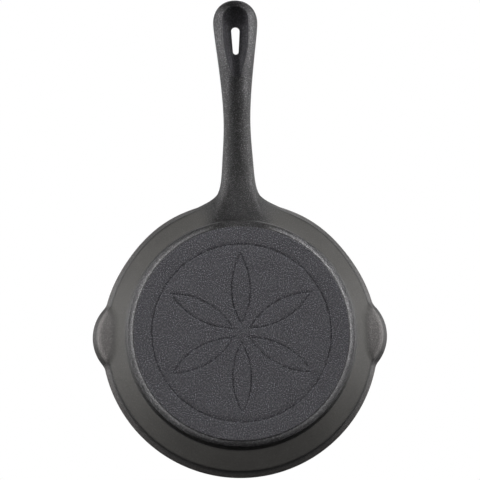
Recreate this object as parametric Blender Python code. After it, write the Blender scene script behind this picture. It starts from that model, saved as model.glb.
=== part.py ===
"""A round cast iron skillet with two pouring lips and a long handle that ends in a hanging eye.

The real pan is poured in one piece. It is modelled whole here, and then divided along plain
cuts into the stretches that a founder would name: the floor, the base ring round it, the side
wall, two pouring lips, the root of the handle, its shank and its eye. They meet face to face.

Metres, +Z up. The pan stands on its base at Z = 0, the Z axis runs through the middle of the
floor, and the handle points along -Y.
"""

import math

import bmesh
import bpy
from mathutils import Vector

# Bowl
RIM_RADIUS = 0.1000
RIM_HEIGHT = 0.0450
RIM_THICKNESS = 0.0045
RIM_EDGE_RADIUS = 0.0016
RIM_STRAIGHT = 0.0022
WALL_FLARE = 0.0167
WALL_THICKNESS = 0.0040
FOOT_HEIGHT = 0.0115
FOOT_LEAN = 0.0015
FOOT_FILLET = 0.0030
BASE_EDGE_RADIUS = 0.0045
FLOOR_THICKNESS = 0.0045
FLOOR_FILLET = 0.0100
INNER_SHOULDER_RADIUS = 0.0200
FOOT_RADIUS = RIM_RADIUS - WALL_FLARE
BASE_RADIUS = FOOT_RADIUS - FOOT_LEAN

# Thin band below the rim, set back from the wall by a step
BAND_HEIGHT = 0.0080
BAND_LEAN = 0.0026
STEP_HEIGHT = 0.0045
STEP_LEAN = 0.0012
STEP_EDGE_RADIUS = 0.0009
BAND_FOOT = (RIM_RADIUS - BAND_LEAN, RIM_HEIGHT - BAND_HEIGHT)
WALL_EDGE = (BAND_FOOT[0] - STEP_LEAN, BAND_FOOT[1] - STEP_HEIGHT)

# Pouring lips, which sit a little nearer the handle than the middle of the bowl
LIP_REACH = 0.0067
LIP_ARC_RADIUS = 0.0310
LIP_SHIFT = 0.0034
LIP_BLEND = 0.0014
LIP_DEPTH = 0.0260
LIP_FULL_DEPTH = 0.0110
LIP_SPREAD_BELOW = 0.45
LIP_MARGIN = math.radians(5.3)

# Handle: its length from the rim, its widths, and the heights of its upper face over the rim
HANDLE_LENGTH = 0.1530
EYE_LENGTH = 0.0185
EYE_HALF_WIDTH = 0.0164
SHOULDER_LENGTH = 0.0462
SHOULDER_HALF_WIDTH = 0.0133
WAIST_SHARE = 0.69
WAIST_HALF_WIDTH = 0.01065
NECK_SHARE = 0.415
NECK_HALF_WIDTH = 0.00975
ROOT_LENGTH = 0.0200
ROOT_HALF_WIDTH = 0.0120
ROOT_RISE = -0.0048
NECK_RISE = -0.0014
EYE_RISE = 0.0090
END_RISE = 0.0116
ROOT_THICKNESS = 0.0112
NECK_THICKNESS = 0.0091
EYE_THICKNESS = 0.0088
UPPER_SHARE = 0.40
UPPER_ROUNDNESS = 3.0
LOWER_ROUNDNESS = 2.1
EYE_ROUNDNESS = 2.2
END_ROUNDNESS = 2.4

# Distances along the handle from the axis of the bowl
ROOT_END = RIM_RADIUS + ROOT_LENGTH
HANDLE_END = RIM_RADIUS + HANDLE_LENGTH
EYE_CENTRE = HANDLE_END - EYE_LENGTH
SHOULDER = HANDLE_END - SHOULDER_LENGTH
NECK = ROOT_END + NECK_SHARE * (SHOULDER - ROOT_END)
WAIST = ROOT_END + WAIST_SHARE * (SHOULDER - ROOT_END)

# Root of the handle, where it flares into the wall: narrow at the wall's foot, wide at the rim
ROOT_HALF_ANGLE = math.radians(23.4)
ROOT_FOOT_SHARE = 0.70
ROOT_RELAXED = math.radians(46)
ROOT_BAND_SHARE = 0.60
ROOT_SLOPE = math.radians(35)
ROOT_DROP = math.radians(30)
ROOT_SIDE_PULL = 0.1100
ROOT_BOTTOM_PULL = 0.0380
ROOT_TOP_PULL = 0.0120
ROOT_END_PULL = 0.0560
ROOT_CORNERS = 2
ROOT_CROWDING = 1.35
ROOT_LOOK_AHEAD = 0.0020

# Easing of the root's creases: all round it first, and then in the coves on its lower side
SOFTEN_ROUNDS = 3
SOFTEN_HALF_ANGLE = math.radians(34)
COVE_ROUNDS = 12
COVE_HALF_ANGLE = math.radians(38)
COVE_HIGHEST = 0.3
SOFTEN_FACTOR = 0.5
SOFTEN_MARGIN = 0.0010
PAST_ROOT = 2.0

# The rim and wall are drawn out a little towards the handle on both sides of it
DRAW_REACH = 0.0020
DRAW_NEAR = math.radians(27)
DRAW_FAR = math.radians(58)

# Hanging eye: a teardrop hollow on each face, and a slot through the web between them
EYE_BORDER = 0.0069
EYE_END_BORDER = 0.0050
HOLLOW_LENGTH = 0.0545
HOLLOW_TIP_RADIUS = 0.0030
UPPER_HOLLOW_DEPTH = 0.0016
WEB_THICKNESS = 0.0032
SLOT_INSET = 0.0155
SLOT_LENGTH = 0.0220
SLOT_HALF_WIDTH = 0.0037
SLOT_END_RADIUS = 0.0021
HOLLOW_TOP = HANDLE_END - EYE_END_BORDER
HOLLOW_TIP = HOLLOW_TOP - HOLLOW_LENGTH
HOLLOW_HALF_WIDTH = EYE_HALF_WIDTH - EYE_BORDER
LOWER_HOLLOW_DEPTH = EYE_THICKNESS - UPPER_HOLLOW_DEPTH - WEB_THICKNESS
SLOT_TOP = HOLLOW_TOP - SLOT_INSET
SLOT_TIP = SLOT_TOP - SLOT_LENGTH
SCOOP = ((0.0, 0.0), (0.16, 0.42), (0.42, 0.76), (0.80, 1.0))

# Where the casting is divided
BASE_CUT_INSET = 0.0015
LIP_CUT_INSET = 0.0010
SHANK_CUT_INSET = 0.0050
EYE_CUT_INSET = 0.0075
ROOT_MARGIN = math.radians(4.6)
BASE_CUT_HEIGHT = FOOT_HEIGHT - BASE_CUT_INSET
LIP_CUT_HEIGHT = RIM_HEIGHT - LIP_DEPTH - LIP_CUT_INSET
ROOT_CUT_HALF_ANGLE = ROOT_HALF_ANGLE + ROOT_MARGIN
SHANK_START = ROOT_END + SHANK_CUT_INSET
EYE_START = HOLLOW_TIP - EYE_CUT_INSET

# Fineness of the facets, and room that the cutters reach past what they cut
LIP_COLUMNS = 24
REAR_COLUMNS = 34
FLANK_COLUMNS = 13
ROOT_COLUMNS = 12
OUTER_ROWS = (0.30, 0.50, 0.70, 0.86)
INNER_ROWS = (0.25, 0.45)
ROOT_RINGS = 9
SHANK_RINGS = 12
END_RINGS = 8
END_SWEEP = math.radians(81)
OUTLINE_POINTS = 12
SHARP_ANGLE = math.radians(38)
FLAT = math.radians(0.2)
MERGE = 1e-6
CLEAR = 0.0200

IRON_COLOUR = (0.055, 0.055, 0.058, 1.0)
IRON_ROUGHNESS = 0.55
IRON_METALLIC = 0.60


def clear_scene():
    for thing in list(bpy.data.objects):
        bpy.data.objects.remove(thing, do_unlink=True)


def iron(name):
    """A seasoned cast iron material under the piece's own name."""
    material = bpy.data.materials.new(name)
    material.use_nodes = True
    shader = material.node_tree.nodes["Principled BSDF"]
    shader.inputs["Base Color"].default_value = IRON_COLOUR
    shader.inputs["Roughness"].default_value = IRON_ROUGHNESS
    shader.inputs["Metallic"].default_value = IRON_METALLIC
    material.diffuse_color = IRON_COLOUR
    return material


def smooth_step(value):
    value = min(max(value, 0.0), 1.0)
    return value * value * (3 - 2 * value)


def smooth_through(points, place):
    """The height at a place of a smooth curve through (place, height) points."""
    last = len(points) - 1
    place = min(max(place, points[0][0]), points[last][0])
    index = max(i for i in range(last) if points[i][0] <= place or i == 0)

    def slope(i):
        low, high = max(i - 1, 0), min(i + 1, last)
        return (points[high][1] - points[low][1]) / (points[high][0] - points[low][0])

    (x0, y0), (x1, y1) = points[index], points[index + 1]
    span = x1 - x0
    t = (place - x0) / span
    return (
        y0 * (1 + 2 * t) * (1 - t) ** 2
        + slope(index) * span * t * (1 - t) ** 2
        + y1 * t * t * (3 - 2 * t)
        + slope(index + 1) * span * t * t * (t - 1)
    )


def rounded(corners):
    """A path through (r, z, radius, steps) corners, with an arc of that radius at each."""
    path = []
    for i, (r, z, radius, steps) in enumerate(corners):
        here = Vector((r, z))
        if radius == 0:
            path.append(here)
            continue
        back = (Vector(corners[i - 1][:2]) - here).normalized()
        ahead = (Vector(corners[i + 1][:2]) - here).normalized()
        half = back.angle(ahead) / 2
        centre = here + (back + ahead).normalized() * radius / math.sin(half)
        start = here + back * radius / math.tan(half) - centre
        turn = math.pi - 2 * half
        side = 1 if start.x * ahead.y - start.y * ahead.x > 0 else -1
        for k in range(steps + 1):
            angle = side * turn * k / steps
            path.append(
                centre
                + Vector(
                    (
                        start.x * math.cos(angle) - start.y * math.sin(angle),
                        start.x * math.sin(angle) + start.y * math.cos(angle),
                    )
                )
            )
    return path


def between(start, end, share):
    return tuple(a + (b - a) * share for a, b in zip(start, end))


def inner_wall():
    """The lower and upper (r, z) ends of the straight inner wall, before its corners are rounded."""
    wall = Vector(WALL_EDGE) - Vector((FOOT_RADIUS, FOOT_HEIGHT))
    inward = Vector((-wall.y, wall.x)).normalized() * WALL_THICKNESS
    inner_edge = Vector(WALL_EDGE) + inward
    share = (FLOOR_THICKNESS - inner_edge.y) / wall.y
    return inner_edge + wall * share, inner_edge


def bowl_section():
    """The bowl's half section, from the axis under the floor round the rim to the axis above it."""
    foot = (FOOT_RADIUS, FOOT_HEIGHT)
    widest = (RIM_RADIUS, RIM_HEIGHT - RIM_STRAIGHT)
    inner_foot, inner_edge = inner_wall()
    return rounded(
        [
            (0.0, 0.0, 0, 0),
            (BASE_RADIUS, 0.0, BASE_EDGE_RADIUS, 4),
            (*foot, FOOT_FILLET, 2),
            *((*between(foot, WALL_EDGE, row), 0, 0) for row in OUTER_ROWS),
            (*WALL_EDGE, STEP_EDGE_RADIUS, 2),
            (*BAND_FOOT, STEP_EDGE_RADIUS, 2),
            (*between(BAND_FOOT, widest, ROOT_BAND_SHARE), 0, 0),
            (*widest, STEP_EDGE_RADIUS, 1),
            (RIM_RADIUS, RIM_HEIGHT, RIM_EDGE_RADIUS, 2),
            (RIM_RADIUS - RIM_THICKNESS, RIM_HEIGHT, RIM_EDGE_RADIUS, 2),
            (*inner_edge, INNER_SHOULDER_RADIUS, 2),
            *((*between(inner_edge, inner_foot, row), 0, 0) for row in INNER_ROWS),
            (*inner_foot, FLOOR_FILLET, 4),
            (floor_cut_radius() / 2, FLOOR_THICKNESS, 0, 0),
            (0.0, FLOOR_THICKNESS, 0, 0),
        ]
    )


def floor_cut_radius():
    """The radius of the floor's flat disc, clear of the fillet at the foot of the inner wall."""
    return inner_wall()[0].x - FLOOR_FILLET


def lip_angle():
    """How far the lips are turned from the X axis towards the handle."""
    return math.asin(LIP_SHIFT / RIM_RADIUS)


def lip_half_angle():
    """The angle from a lip's own axis to where its arc has run into the rim, and a margin."""
    centre = RIM_RADIUS + LIP_REACH - LIP_ARC_RADIUS
    reach = RIM_RADIUS**2 + centre**2 - LIP_ARC_RADIUS**2
    return math.acos(reach / (2 * RIM_RADIUS * centre)) + LIP_MARGIN


def column_stages():
    """(angle, columns) of the stretches round the bowl: lip, rear, lip, flank, root and flank."""
    lip = 2 * lip_half_angle() * LIP_COLUMNS / (LIP_COLUMNS - 1)
    rear = math.pi + 2 * lip_angle() - lip
    root = 2 * ROOT_HALF_ANGLE
    flank = (2 * math.pi - rear - root) / 2 - lip
    return (
        (lip, LIP_COLUMNS),
        (rear, REAR_COLUMNS),
        (lip, LIP_COLUMNS),
        (flank, FLANK_COLUMNS),
        (root, ROOT_COLUMNS),
        (flank, FLANK_COLUMNS),
    )


def turn_bowl(bm):
    """Turns the section round the axis, with the columns closer together at the lips."""
    stages = column_stages()
    start = -lip_angle() - stages[0][0] / 2
    points = [
        bm.verts.new((p.x * math.cos(start), p.x * math.sin(start), p.y)) for p in bowl_section()
    ]
    profile = [bm.edges.new(pair) for pair in zip(points, points[1:])]
    geometry = points + profile
    for angle, columns in stages:
        done = bmesh.ops.spin(
            bm, geom=geometry, axis=(0, 0, 1), cent=(0, 0, 0), angle=angle, steps=columns
        )
        geometry = done["geom_last"]
    bmesh.ops.remove_doubles(bm, verts=bm.verts, dist=MERGE)
    bmesh.ops.recalc_face_normals(bm, faces=bm.faces)


def lip_swell(turned, height):
    """How far the wall swells out at an angle from the lip's own axis and a height."""
    below = RIM_HEIGHT - height
    depth = smooth_step((LIP_DEPTH - below) / (LIP_DEPTH - LIP_FULL_DEPTH))
    centre = RIM_RADIUS + LIP_REACH - LIP_ARC_RADIUS
    turned *= 1 + LIP_SPREAD_BELOW * (1 - depth)
    room = LIP_ARC_RADIUS**2 - (centre * math.sin(turned)) ** 2
    if room <= 0 or abs(turned) > math.pi / 2:
        return 0.0
    stand = centre * math.cos(turned) + math.sqrt(room) - RIM_RADIUS
    share = min(max(0.5 + 0.5 * stand / LIP_BLEND, 0.0), 1.0)
    return depth * (stand * share + LIP_BLEND * share * (1 - share))


def shape_lips(bm):
    for vert in bm.verts:
        radius = math.hypot(vert.co.x, vert.co.y)
        if vert.co.z < RIM_HEIGHT - LIP_DEPTH or radius < floor_cut_radius():
            continue
        angle = math.atan2(vert.co.y, abs(vert.co.x)) + lip_angle()
        swell = lip_swell(angle, vert.co.z)
        vert.co.x *= (radius + swell) / radius
        vert.co.y *= (radius + swell) / radius


def half_width(place):
    if place >= EYE_CENTRE:
        share = (place - EYE_CENTRE) / (HANDLE_END - EYE_CENTRE)
        return EYE_HALF_WIDTH * max(1 - share**EYE_ROUNDNESS, 0.0) ** (1 / EYE_ROUNDNESS)
    return smooth_through(
        (
            (ROOT_END, ROOT_HALF_WIDTH),
            (NECK, NECK_HALF_WIDTH),
            (WAIST, WAIST_HALF_WIDTH),
            (SHOULDER, SHOULDER_HALF_WIDTH),
            (EYE_CENTRE, EYE_HALF_WIDTH),
            (HANDLE_END, EYE_HALF_WIDTH),
        ),
        place,
    )


def upper_face(place):
    """The height of the handle's upper face at a distance from the axis of the bowl."""
    return RIM_HEIGHT + smooth_through(
        ((ROOT_END, ROOT_RISE), (NECK, NECK_RISE), (EYE_CENTRE, EYE_RISE), (HANDLE_END, END_RISE)),
        place,
    )


def lower_face(place):
    """The height of the handle's lower face at a distance from the axis of the bowl."""
    thickness = ((ROOT_END, ROOT_THICKNESS), (NECK, NECK_THICKNESS), (EYE_CENTRE, EYE_THICKNESS))
    return upper_face(place) - smooth_through(thickness, place)


def end_taper(place):
    """The share of the handle's thickness that is left towards its rounded end."""
    share = max(place - EYE_CENTRE, 0.0) / (HANDLE_END - EYE_CENTRE)
    return max(1 - share**END_ROUNDNESS, 0.0) ** (1 / END_ROUNDNESS)


def handle_point(place, turned, share):
    """A point of the handle's section: round it by an angle, and out from its middle by a share."""
    top = upper_face(place)
    bottom = lower_face(place)
    middle = top - (top - bottom) * UPPER_SHARE
    upper = math.sin(turned) > 0
    roundness = UPPER_ROUNDNESS if upper else LOWER_ROUNDNESS
    height = (top - middle if upper else middle - bottom) * end_taper(place)
    across = abs(math.cos(turned)) ** (2 / roundness)
    rise = abs(math.sin(turned)) ** (2 / roundness)
    return Vector(
        (
            math.copysign(half_width(place) * across, math.cos(turned)) * share,
            -place,
            middle + math.copysign(height * rise, math.sin(turned)) * share,
        )
    )


def root_patch(bm):
    """The faces of the outer wall that the handle grows from, as a block of rows and columns."""
    low = FOOT_HEIGHT
    high = BAND_FOOT[1] + ROOT_BAND_SHARE * (RIM_HEIGHT - RIM_STRAIGHT - BAND_FOOT[1])
    faces = []
    for face in bm.faces:
        centre = face.calc_center_median()
        turned = math.atan2(centre.x, -centre.y)
        outward = face.normal.x * centre.x + face.normal.y * centre.y > 0
        if outward and abs(turned) < ROOT_HALF_ANGLE and low < centre.z < high:
            faces.append(face)
    return faces


def wall_share(height):
    """How far up the flared wall a height is, eased from 0 at its foot to 1 at the band."""
    return smooth_step((height - FOOT_HEIGHT) / (BAND_FOOT[1] - FOOT_HEIGHT))


def wall_middle(height):
    """The radius of the middle of the wall at a height, between its two faces."""
    lean = (WALL_EDGE[0] - FOOT_RADIUS) / (WALL_EDGE[1] - FOOT_HEIGHT)
    return FOOT_RADIUS + (height - FOOT_HEIGHT) * lean - WALL_THICKNESS / 2


def narrowed(angle, height):
    """The angle from the handle that a column of the outer wall is moved to at a height."""
    share = 1 - (1 - ROOT_FOOT_SHARE) * (1 - wall_share(height)) * smooth_step(height / FOOT_HEIGHT)
    turned = abs(angle)
    if turned >= ROOT_RELAXED:
        return angle
    inner = ROOT_HALF_ANGLE * share
    if turned <= ROOT_HALF_ANGLE:
        return angle * share
    along = (turned - ROOT_HALF_ANGLE) / (ROOT_RELAXED - ROOT_HALF_ANGLE)
    return math.copysign(inner + (ROOT_RELAXED - inner) * along, angle)


def shape_root_wall(bm):
    """Draws the wall out towards the handle, and its columns in towards the root's foot."""
    for vert in bm.verts:
        radius = math.hypot(vert.co.x, vert.co.y)
        if radius < floor_cut_radius():
            continue
        angle = math.atan2(vert.co.x, -vert.co.y)
        near = smooth_step((DRAW_FAR - abs(angle)) / (DRAW_FAR - DRAW_NEAR))
        if radius > wall_middle(vert.co.z):
            angle = narrowed(angle, vert.co.z)
        radius += DRAW_REACH * near * wall_share(vert.co.z)
        vert.co.x = radius * math.sin(angle)
        vert.co.y = -radius * math.cos(angle)


def grow_handle(bm):
    """Extrudes the patch ring by ring: first a flare that leaves the wall, then the handle."""
    turned = bm.verts.layers.float.new("turned")
    share = bm.verts.layers.float.new("share")
    drawn = bm.verts.layers.float.new("drawn")
    start = bm.verts.layers.float_vector.new("start")
    pull = bm.verts.layers.float_vector.new("pull")
    faces = root_patch(bm)
    verts = {vert for face in faces for vert in face.verts}
    angles = {vert: math.atan2(vert.co.x, -vert.co.y) for vert in verts}
    across = max(angles.values())
    heights = sorted({round(vert.co.z, 6) for vert in verts})
    shape_root_wall(bm)
    for vert in verts:
        u = angles[vert] / across
        row = min(range(len(heights)), key=lambda i: abs(heights[i] - vert.co.z))
        v = 2 * row / (len(heights) - 1) - 1
        vert[share] = max(abs(u), abs(v))
        vert[turned] = patch_turn(u, v)
        vert[start] = vert.co
        vert[pull] = root_pull(vert.co, u, v)
    rings = [("root", (k / ROOT_RINGS) ** ROOT_CROWDING) for k in range(1, ROOT_RINGS + 1)]
    for k in range(1, SHANK_RINGS + 1):
        rings.append(("handle", ROOT_END + (EYE_CENTRE - ROOT_END) * k / SHANK_RINGS))
    for k in range(1, END_RINGS + 1):
        rings.append(("handle", EYE_CENTRE + EYE_LENGTH * math.sin(END_SWEEP * k / END_RINGS)))
    rings.append(("cap", HANDLE_END))
    for kind, value in rings:
        if kind != "cap":
            done = bmesh.ops.extrude_face_region(bm, geom=faces)
            bmesh.ops.delete(bm, geom=faces, context="FACES")
            faces = [item for item in done["geom"] if isinstance(item, bmesh.types.BMFace)]
        for vert in {vert for face in faces for vert in face.verts}:
            vert[drawn] = value if kind == "root" else PAST_ROOT
            if kind == "root":
                vert.co = flare(vert[start], vert[pull], vert[turned], vert[share], value)
            elif kind == "handle":
                vert.co = handle_point(value, vert[turned], vert[share])
            else:
                vert.co.y -= (value + vert.co.y) * (1 - vert[share] ** 2)
    soften_root(bm, SOFTEN_ROUNDS, SOFTEN_HALF_ANGLE, 1.0)
    soften_root(bm, COVE_ROUNDS, COVE_HALF_ANGLE, COVE_HIGHEST)
    for name in ("turned", "share", "drawn"):
        bm.verts.layers.float.remove(bm.verts.layers.float[name])


def soften_root(bm, rounds, half_angle, highest):
    """Eases the creases between the root and the wall, up to a height round the root's section."""
    turned = bm.verts.layers.float["turned"]
    drawn = bm.verts.layers.float["drawn"]
    chosen = []
    for vert in bm.verts:
        angle = math.atan2(vert.co.x, -vert.co.y)
        rising = FOOT_HEIGHT + SOFTEN_MARGIN < vert.co.z < WALL_EDGE[1] - SOFTEN_MARGIN
        outer = math.hypot(vert.co.x, vert.co.y) > wall_middle(vert.co.z)
        wall = vert[drawn] == 0 and rising and outer and abs(angle) < half_angle
        root = 0 < vert[drawn] <= 1 and math.sin(vert[turned]) <= highest
        if wall or root:
            chosen.append(vert)
    for _ in range(rounds):
        bmesh.ops.smooth_vert(
            bm,
            verts=chosen,
            factor=SOFTEN_FACTOR,
            use_axis_x=True,
            use_axis_y=True,
            use_axis_z=True,
        )


def patch_turn(u, v):
    """The angle round the handle's section that a place on the patch's square outline goes to."""
    quarter = math.pi / 4
    if u == 0 and v == 0:
        return 0.0
    if abs(u) >= abs(v):
        along = v / abs(u)
        return quarter * along if u > 0 else math.pi - quarter * along
    along = u / abs(v)
    return math.pi / 2 - quarter * along if v > 0 else 3 * math.pi / 2 + quarter * along


def root_pull(place, u, v):
    """The direction and force with which the flare leaves the wall at a place on the patch."""
    angle = math.atan2(place.x, -place.y)
    widest = RIM_RADIUS * math.sin(ROOT_HALF_ANGLE) - ROOT_HALF_WIDTH
    side_pull = ROOT_SIDE_PULL * max((abs(place.x) - ROOT_HALF_WIDTH) / widest, 0.0)
    outward = Vector((math.sin(angle), -math.cos(angle), 0))
    sideways = Vector((-math.copysign(math.cos(angle), u), -abs(math.sin(angle)), 0))
    rising = outward * math.cos(ROOT_SLOPE) + Vector((0, 0, math.sin(ROOT_SLOPE)))
    falling = outward * math.cos(ROOT_DROP) - Vector((0, 0, math.sin(ROOT_DROP)))
    weights = [max(side, 0) ** ROOT_CORNERS for side in (abs(u), -v, v)]
    total = sum(weights) or 1.0
    parts = (sideways * side_pull, rising * ROOT_BOTTOM_PULL, falling * ROOT_TOP_PULL)
    return sum((p * (w / total) for p, w in zip(parts, weights)), Vector())


def flare(start, pull, turned, share, value):
    """A cubic curve from the wall, along its pull, to the handle's section at the root's end."""
    end = handle_point(ROOT_END, turned, share)
    ahead = handle_point(ROOT_END + ROOT_LOOK_AHEAD, turned, share)
    arrive = (ahead - end).normalized() * ROOT_END_PULL
    t = value
    return (
        Vector(start) * ((1 + 2 * t) * (1 - t) ** 2)
        + Vector(pull) * (t * (1 - t) ** 2)
        + end * (t * t * (3 - 2 * t))
        + arrive * (t * t * (t - 1))
    )


def teardrop(round_end, tip, half_width_at_end, tip_radius, points):
    """A closed outline in plan: an arc at the round end, flanks, and a small arc at the tip."""
    centre = round_end - half_width_at_end
    tip_centre = tip + tip_radius
    lean = math.asin((half_width_at_end - tip_radius) / (centre - tip_centre))
    outline = []
    for k in range(points + 1):
        angle = -lean + (math.pi + 2 * lean) * k / points
        outline.append(
            (half_width_at_end * math.cos(angle), centre + half_width_at_end * math.sin(angle))
        )
    steps = max(points // 3, 3)
    for k in range(steps + 1):
        angle = math.pi + lean + (math.pi - 2 * lean) * k / steps
        outline.append((tip_radius * math.cos(angle), tip_centre + tip_radius * math.sin(angle)))
    return outline


def eye_cutter(name, face, depth, side):
    """A scooped teardrop hollow, and the slot on from its floor, as one closed cutter.

    face gives the height of the handle's face, and side is -1 for the lower one and 1 for the
    upper one.
    """
    hollow = teardrop(HOLLOW_TOP, HOLLOW_TIP, HOLLOW_HALF_WIDTH, HOLLOW_TIP_RADIUS, OUTLINE_POINTS)
    slot = teardrop(SLOT_TOP, SLOT_TIP, SLOT_HALF_WIDTH, SLOT_END_RADIUS, OUTLINE_POINTS)
    rings = [(0.0, -EYE_THICKNESS / 4)]
    rings += [(inset, down * depth) for inset, down in SCOOP]
    rings += [(1.0, depth), (1.0, depth + WEB_THICKNESS)]
    bm = bmesh.new()
    loops = []
    for inset, drop in rings:
        loop = []
        for a, b in zip(hollow, slot):
            across, place = between(a, b, inset)
            loop.append(bm.verts.new((across, -place, face(place) - side * drop)))
        loops.append(loop)
    for near, far in zip(loops, loops[1:]):
        for i in range(len(near)):
            bm.faces.new((near[i - 1], near[i], far[i], far[i - 1]))
    bm.faces.new(loops[0])
    bm.faces.new(loops[-1])
    bmesh.ops.recalc_face_normals(bm, faces=bm.faces)
    return hidden_cutter(name, bm)


def wedge_cutter(name, middle, half_angle, bottom):
    """A wedge that opens outwards from inside the floor's cut, from a height up past the rim."""
    near = floor_cut_radius() / 2
    far = (HANDLE_END + CLEAR) / math.cos(half_angle)
    bm = bmesh.new()
    corners = []
    for reach, side in ((near, -1), (far, -1), (far, 1), (near, 1)):
        angle = middle + side * half_angle
        corners.append((reach * math.cos(angle), reach * math.sin(angle), bottom))
    base = bm.faces.new([bm.verts.new(corner) for corner in corners])
    done = bmesh.ops.extrude_face_region(bm, geom=[base], use_keep_orig=True)
    raised = [item for item in done["geom"] if isinstance(item, bmesh.types.BMVert)]
    bmesh.ops.translate(bm, verts=raised, vec=(0, 0, RIM_HEIGHT + 2 * CLEAR))
    bmesh.ops.recalc_face_normals(bm, faces=bm.faces)
    return hidden_cutter(name, bm)


def slab_cutter(name, near, far):
    """A block across the handle, between two distances from the axis of the bowl."""
    bm = bmesh.new()
    bmesh.ops.create_cube(bm, size=1.0)
    width = 2 * RIM_RADIUS
    for vert in bm.verts:
        vert.co.x *= width
        vert.co.y = -near if vert.co.y > 0 else -far
        vert.co.z = RIM_HEIGHT / 2 + vert.co.z * 4 * RIM_HEIGHT
    return hidden_cutter(name, bm)


def base_cutter(name):
    """A block round the whole base, from under it to below the foot of the wall."""
    bm = bmesh.new()
    bmesh.ops.create_cube(bm, size=1.0)
    width = 2 * (RIM_RADIUS + LIP_REACH + CLEAR)
    for vert in bm.verts:
        vert.co.x *= width
        vert.co.y *= width
        vert.co.z = BASE_CUT_HEIGHT if vert.co.z > 0 else -CLEAR
    return hidden_cutter(name, bm)


def floor_cutter(name):
    """A drum through the floor, with its corners midway between the bowl's own columns."""
    bm = bmesh.new()
    ring = []
    stages = column_stages()
    angle = -lip_angle() - stages[0][0] / 2
    for stretch_angle, columns in stages:
        step = stretch_angle / columns
        for k in range(columns):
            turned = angle + (k + 0.5) * step
            across = floor_cut_radius() * math.cos(turned)
            along = floor_cut_radius() * math.sin(turned)
            ring.append(bm.verts.new((across, along, -CLEAR)))
        angle += stretch_angle
    disc = bm.faces.new(ring)
    done = bmesh.ops.extrude_face_region(bm, geom=[disc], use_keep_orig=True)
    raised = [item for item in done["geom"] if isinstance(item, bmesh.types.BMVert)]
    bmesh.ops.translate(bm, verts=raised, vec=(0, 0, 2 * CLEAR))
    bmesh.ops.recalc_face_normals(bm, faces=bm.faces)
    return hidden_cutter(name, bm)


def hidden_cutter(name, bm):
    mesh = bpy.data.meshes.new(name)
    bm.to_mesh(mesh)
    bm.free()
    cutter = bpy.data.objects.new(name, mesh)
    bpy.context.collection.objects.link(cutter)
    cutter.hide_render = True
    cutter.display_type = "WIRE"
    return cutter


def stretch(name, casting, steps, parent):
    """One named stretch of the casting: a copy of it, kept or cut by (operation, cutter) steps."""
    piece = bpy.data.objects.new(name, casting.copy())
    bpy.context.collection.objects.link(piece)
    piece.parent = parent
    piece.data.materials.append(iron(name))
    for operation, cutter in steps:
        modifier = piece.modifiers.new(cutter.name, "BOOLEAN")
        modifier.operation = operation
        modifier.solver = "EXACT"
        modifier.object = cutter
    return piece


def merge_flat_faces(bm):
    """Merges faces that lie in one plane, everywhere on the bowl but where the handle grows."""
    limit = -RIM_RADIUS * math.cos(ROOT_CUT_HALF_ANGLE)
    verts = [vert for vert in bm.verts if vert.co.y > limit]
    chosen = set(verts)
    edges = [edge for edge in bm.edges if chosen.issuperset(edge.verts)]
    bmesh.ops.dissolve_limit(bm, angle_limit=FLAT, verts=verts, edges=edges)


def casting_mesh():
    """The whole pan, before its hanging eye is cut and before it is divided."""
    bm = bmesh.new()
    turn_bowl(bm)
    shape_lips(bm)
    grow_handle(bm)
    merge_flat_faces(bm)
    mesh = bpy.data.meshes.new("casting")
    bm.to_mesh(mesh)
    bm.free()
    mesh.shade_smooth()
    mesh.set_sharp_from_angle(angle=SHARP_ANGLE)
    return mesh


def main():
    clear_scene()
    pan = bpy.data.objects.new("pan", None)
    bpy.context.collection.objects.link(pan)
    casting = casting_mesh()
    floor = floor_cutter("floor_cut")
    turned = lip_angle()
    right = wedge_cutter("right_lip_cut", -turned, lip_half_angle(), LIP_CUT_HEIGHT)
    left = wedge_cutter("left_lip_cut", math.pi + turned, lip_half_angle(), LIP_CUT_HEIGHT)
    root = wedge_cutter("root_cut", -math.pi / 2, ROOT_CUT_HALF_ANGLE, BASE_CUT_HEIGHT)
    base = base_cutter("base_cut")
    shank = slab_cutter("shank_cut", SHANK_START, EYE_START)
    beyond_root = slab_cutter("beyond_root_cut", SHANK_START, HANDLE_END + CLEAR)
    beyond_shank = slab_cutter("beyond_shank_cut", EYE_START, HANDLE_END + CLEAR)
    lower = eye_cutter("lower_hollow", lower_face, LOWER_HOLLOW_DEPTH, -1)
    upper = eye_cutter("upper_hollow", upper_face, UPPER_HOLLOW_DEPTH, 1)
    keep, cut = "INTERSECT", "DIFFERENCE"
    stretch("pan_floor", casting, [(keep, floor)], pan)
    stretch("base_ring", casting, [(keep, base), (cut, floor)], pan)
    stretch("side_wall", casting, [(cut, base), (cut, right), (cut, left), (cut, root)], pan)
    stretch("pouring_lip_right", casting, [(keep, right)], pan)
    stretch("pouring_lip_left", casting, [(keep, left)], pan)
    stretch("handle_root", casting, [(keep, root), (cut, beyond_root)], pan)
    stretch("handle_shank", casting, [(keep, shank)], pan)
    stretch("handle_eye", casting, [(keep, beyond_shank), (cut, lower), (cut, upper)], pan)


main()
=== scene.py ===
"""The looks of a seasoned cast iron skillet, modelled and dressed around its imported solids.

The real pan is one iron casting, so it is modelled here as one closed mesh: the bowl is drawn ring
by ring from a disc, the handle is drawn out of the bowl's wall, the lips are pressed out, and the
hanging eye and the rosette on the base are cut. Metres, +Z up, the handle along -Y.
"""

import logging
import math
from dataclasses import dataclass
from enum import Enum

import bmesh
import bpy
from mathutils import Matrix, Vector


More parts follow.
